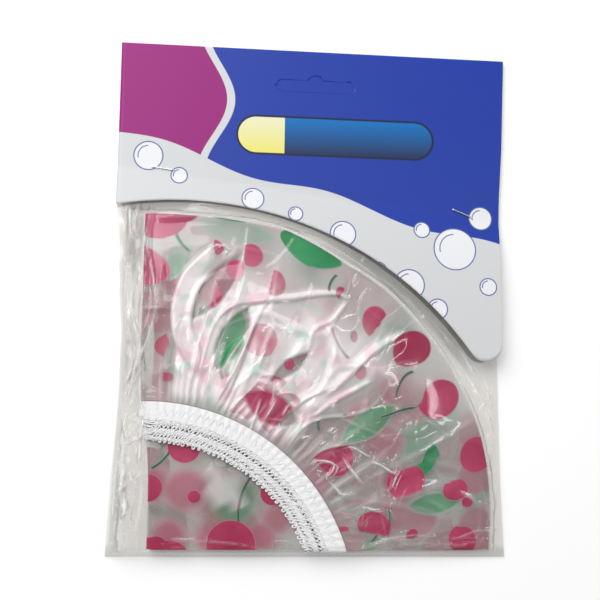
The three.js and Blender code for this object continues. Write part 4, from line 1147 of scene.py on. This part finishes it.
def bag_front(material):
    """The front film with its seams and bottom fold, over the cap wherever it slides and under the card."""
    columns = spread(-HALF_WIDTH, HALF_WIDTH, 286, (4, 42), 1.9)
    rows = spread(-HALF_HEIGHT, MOUTH, 334, (-96, -42), 1.8)
    u, v = np.meshgrid(columns, rows)
    x, y = drawn_in(u, v), v
    tops = np.max([cap_top(x + shift, y) for shift in np.linspace(0, CAP_TRAVEL, 4)], 0)
    # Over the cap the film spans from ridge to ridge, and beside it falls to the seams
    spanned = np.where(tops > 0, blurred(draped(tops, columns, rows, 22.0), 4), -1)
    over = fallen(np.maximum(spanned + FILM_GAP, FLANGE), columns, rows, 1.15)
    over = np.maximum(blurred(over, 10), over)
    slack = 0.3 * value_noise(x, y, 17, 31) + 0.15 * value_noise(x, y, 8, 32)
    raised, crease = crinkles(x, y)
    inset = np.minimum.reduce([HALF_WIDTH - np.abs(u), v + HALF_HEIGHT, np.full(u.shape, 40.0)])
    z = over + (slack + raised) * smooth(inset, 0.8, 6)
    # The film greys most where it is crumpled, between the cap's arc and the card's and down the left side
    angle, out = apex_polar(x, y)
    beside = np.maximum(smooth(out - CAP_RADIUS - swell(angle, out), 0, 2), smooth(-x, 68, 72))
    wall = (0.35 + 0.65 * smooth(inset, 1.5, 5)) * np.maximum(0.12, beside)
    # Painted shade: grey streaks down the left side, partly film lying doubled and partly the shade of its
    # wrinkles; the card's shadow along its arc; and darker along the bottom
    streaks_doubled_and_shaded = smooth(value_noise(x, 0.1 * y, 2.0, 39), 0.4, 0.9) * smooth(-x, 68, 71) * smooth(y, -60, -20)
    from_arc = np.hypot(x - ARC[0], y - ARC[1]) - ARC_RADIUS
    turn = np.degrees(np.arctan2(y - ARC[1], x - ARC[0]))
    painted_card_shadow = smooth(from_arc, -7, -5) * smooth(turn, 30, 39) * smooth(-turn, -70, -58)
    shade = np.maximum(0.6 * streaks_doubled_and_shaded, 0.6 * painted_card_shadow) * smooth(inset, 1.5, 4)
    shade = np.maximum(shade, 0.35 * smooth(-v, 101, 104))
    # Sealed sides and the bottom fold lie flat; the sheet stays under the card's front panel
    z = 1.0 + (z - 1.0) * smooth(inset, 0.0, 3.2)
    z = z + 0.22 * np.exp(-((HALF_WIDTH - np.abs(u) - 2.4) / 0.5) ** 2)
    roof = np.where(v > np.interp(u, FOOT[:, 0], FOOT[:, 1]) - 1, panel_back(u, v) - FILM_GAP, 99.0)
    z = np.minimum(z, np.maximum(roof, FLANGE))
    mesh = sheet_mesh("bag_front_sheet", np.stack([x, y, z], -1), crease=crease * smooth(inset, 0.8, 3),
                      wall=wall, shade=shade)
    obj = piece("bag_front_sheet", mesh, "pack", "clear_film", material)
    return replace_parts(obj, "bag_front_film", "bag_left_seam", "bag_right_seam", "bag_bottom_fold")


def bag_back(material):
    """The back film, flat under the cap and lifted a little beside it."""
    u, v = np.meshgrid(np.linspace(-HALF_WIDTH, HALF_WIDTH, 130), np.linspace(-HALF_HEIGHT, MOUTH, 150))
    x, y = drawn_in(u, v), v
    angle, out = apex_polar(x, y)
    beside = np.maximum.reduce([APEX[0] - x - 11, APEX[1] - y - 2, out - CAP_RADIUS - 1 - swell(angle, out)])
    z = 0.12 + 0.75 * smooth(beside, 0, 2.5) + 0.25 * value_noise(x, y, 9, 51)
    inset = np.minimum(HALF_WIDTH - np.abs(u), v + HALF_HEIGHT)
    z = 0.95 + (z - 0.95) * smooth(inset, 0.0, 3.0)
    none = np.zeros(x.shape)
    mesh = sheet_mesh("bag_back_sheet", np.stack([x, y, z], -1), crease=none, wall=none, shade=none)
    mesh.flip_normals()
    obj = piece("bag_back_sheet", mesh, "pack", "clear_film", material)
    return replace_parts(obj, "bag_back_film")


# Stage, light and camera

def floor():
    """A plain floor, swept up far from the pack, that shows white and takes the pack's shadow."""
    material, tree = new_material("white_floor")
    path = node(tree, "LightPath")
    seen = node(tree, "Math", {0: path.outputs["Is Camera Ray"], 1: path.outputs["Is Glossy Ray"]},
                operation="MAXIMUM")
    seen = node(tree, "Math", {0: seen, 1: path.outputs["Is Transmission Ray"]}, operation="MAXIMUM")
    away = node(tree, "VectorMath", {0: node(tree, "TexCoord").outputs["Object"]}, operation="LENGTH")
    far = node(tree, "MapRange", {"Value": away.outputs["Value"], "From Min": 0.25, "From Max": 0.9,
                                  "To Min": 0.24, "To Max": 1.0})
    glow = node(tree, "Math", {0: seen, 1: far}, operation="MULTIPLY")
    diffuse = node(tree, "BsdfDiffuse", {"Color": ink("#ececec")})
    light = node(tree, "Emission", {"Strength": glow})
    surface = node(tree, "AddShader", {0: diffuse, 1: light})
    node(tree, "OutputMaterial", {"Surface": surface})
    bm = bmesh.new()
    reach, bend, wall = 2.6, 0.6, 1.2
    sweep = [(reach + bend * math.sin(t), bend - bend * math.cos(t)) for t in np.linspace(0, math.pi / 2, 7)]
    line = [bm.verts.new((x, 0, z - 0.3 * MM)) for x, z in ((0, 0), *sweep, (reach + bend, wall))]
    edges = [bm.edges.new(pair) for pair in zip(line, line[1:])]
    bmesh.ops.spin(bm, geom=line + edges, cent=(0, 0, 0), axis=(0, 0, 1), angle=2 * math.pi, steps=48,
                   use_merge=True)
    bmesh.ops.remove_doubles(bm, verts=bm.verts, dist=MM)
    bmesh.ops.recalc_face_normals(bm, faces=bm.faces)
    mesh = mesh_from(bm, "floor")
    mesh.materials.append(material)
    linked("floor", mesh)


def lamp(name, place, size, power):
    """A soft box that looks at the pack."""
    light = bpy.data.lights.new(name, "AREA")
    light.shape = "RECTANGLE"
    light.size, light.size_y = size
    light.energy = power
    obj = linked(name, light)
    obj.location = place
    obj.rotation_euler = (-Vector(place)).to_track_quat("-Z", "Y").to_euler()


def studio():
    """White surroundings, a large soft key light, and two narrow lights that draw glints on the film."""
    world = bpy.data.worlds.new("studio")
    scene.world = world
    world.use_nodes = True
    sky = world.node_tree.nodes["Background"].inputs
    sky["Color"].default_value, sky["Strength"].default_value = (1, 1, 1, 1), 0.30
    lamp("key", (-0.50, 0.55, 0.90), (1.0, 0.9), 12.3)
    lamp("strip", (0.60, 0.10, 0.75), (0.05, 0.50), 0.9)
    lamp("spark", (-0.26, 0.30, 0.90), (0.02, 0.50), 0.35)
    # A ray meets ten films one behind the other
    scene.cycles.transparent_max_bounces = 16
    scene.view_settings.view_transform = "Standard"


def camera():
    """The photograph's camera, fitted to the four corners of the pack: 60 mm lens, 0.42 m above it."""
    turn = (Matrix.Rotation(math.radians(-1.48), 3, "Z") @ Matrix.Rotation(math.radians(5.76), 3, "Y")
            @ Matrix.Rotation(math.radians(-5.87), 3, "X"))
    data = bpy.data.cameras.new("camera")
    data.lens, data.sensor_width = 60.0, 36.0
    data.clip_start = 0.01
    obj = linked("camera", data)
    place = turn.transposed() @ -Vector((5.1 * MM, 0.7 * MM, -421.6 * MM))
    obj.matrix_world = Matrix.Translation(place) @ turn.transposed().to_4x4()
    scene.camera = obj


camera()
studio()
floor()

film = cap_film(printed_film())
tape = elastic_tape(woven_elastic())
# Spun polyester yarn: matt, soft at its edges, with a twist too fine to draw, shown as a light mottle
yarn, seam_thread = (mottled(name, 0.5, 2.0, "#e9e8ea", light, (0.85, 0.85), {"Sheen Weight": 0.4})
                     for name, light in (("spun_polyester_lace", "#fefefe"),
                                         ("spun_polyester_thread", "#fafafa")))
openwork = lace(yarn)
stitches = [zigzag("zigzag_front", "stitching_front", FRONT_QUARTER, seam_thread),
            zigzag("zigzag_back", "stitching_back", 0, seam_thread)]
front = bag_front(clear_film("cast_polypropylene_film"))
# The back film is tinted greyer than the front: partly haze, partly painted shade of the pack over it
back = bag_back(clear_film("cast_polypropylene_back_film_painted_shade", (0.865, 0.85, 0.83, 1)))
coated = printed_card()
# Uncoated board: matt white with a faint fibre mottle
uncoated = mottled("uncoated_card_inside", 1.5, 4.0, "#e2e2df", "#f0f0ee", (0.8, 0.8), {})
header_card(coated, uncoated)
# Galvanised staple wire, drawn: bright grey with a fine mottle in tone and roughness
steel = mottled("galvanised_drawn_wire", 0.4, 3.0, "#b9bcc0", "#e2e4e6", (0.22, 0.42), {"Metallic": 1.0})

for name, material in (("hang_slug_front", coated), ("hang_slug_back", coated),
                       ("staple_left", steel), ("staple_right", steel)):
    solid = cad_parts[name]
    solid.data.materials.clear()
    solid.data.materials.append(material)
    if material == steel:
        weld = solid.modifiers.new("weld", "WELD")
        weld.merge_threshold = 0.01 * MM
        bevel = solid.modifiers.new("drawn_edges", "BEVEL")
        bevel.width, bevel.segments, bevel.limit_method = 0.12 * MM, 2, "ANGLE"
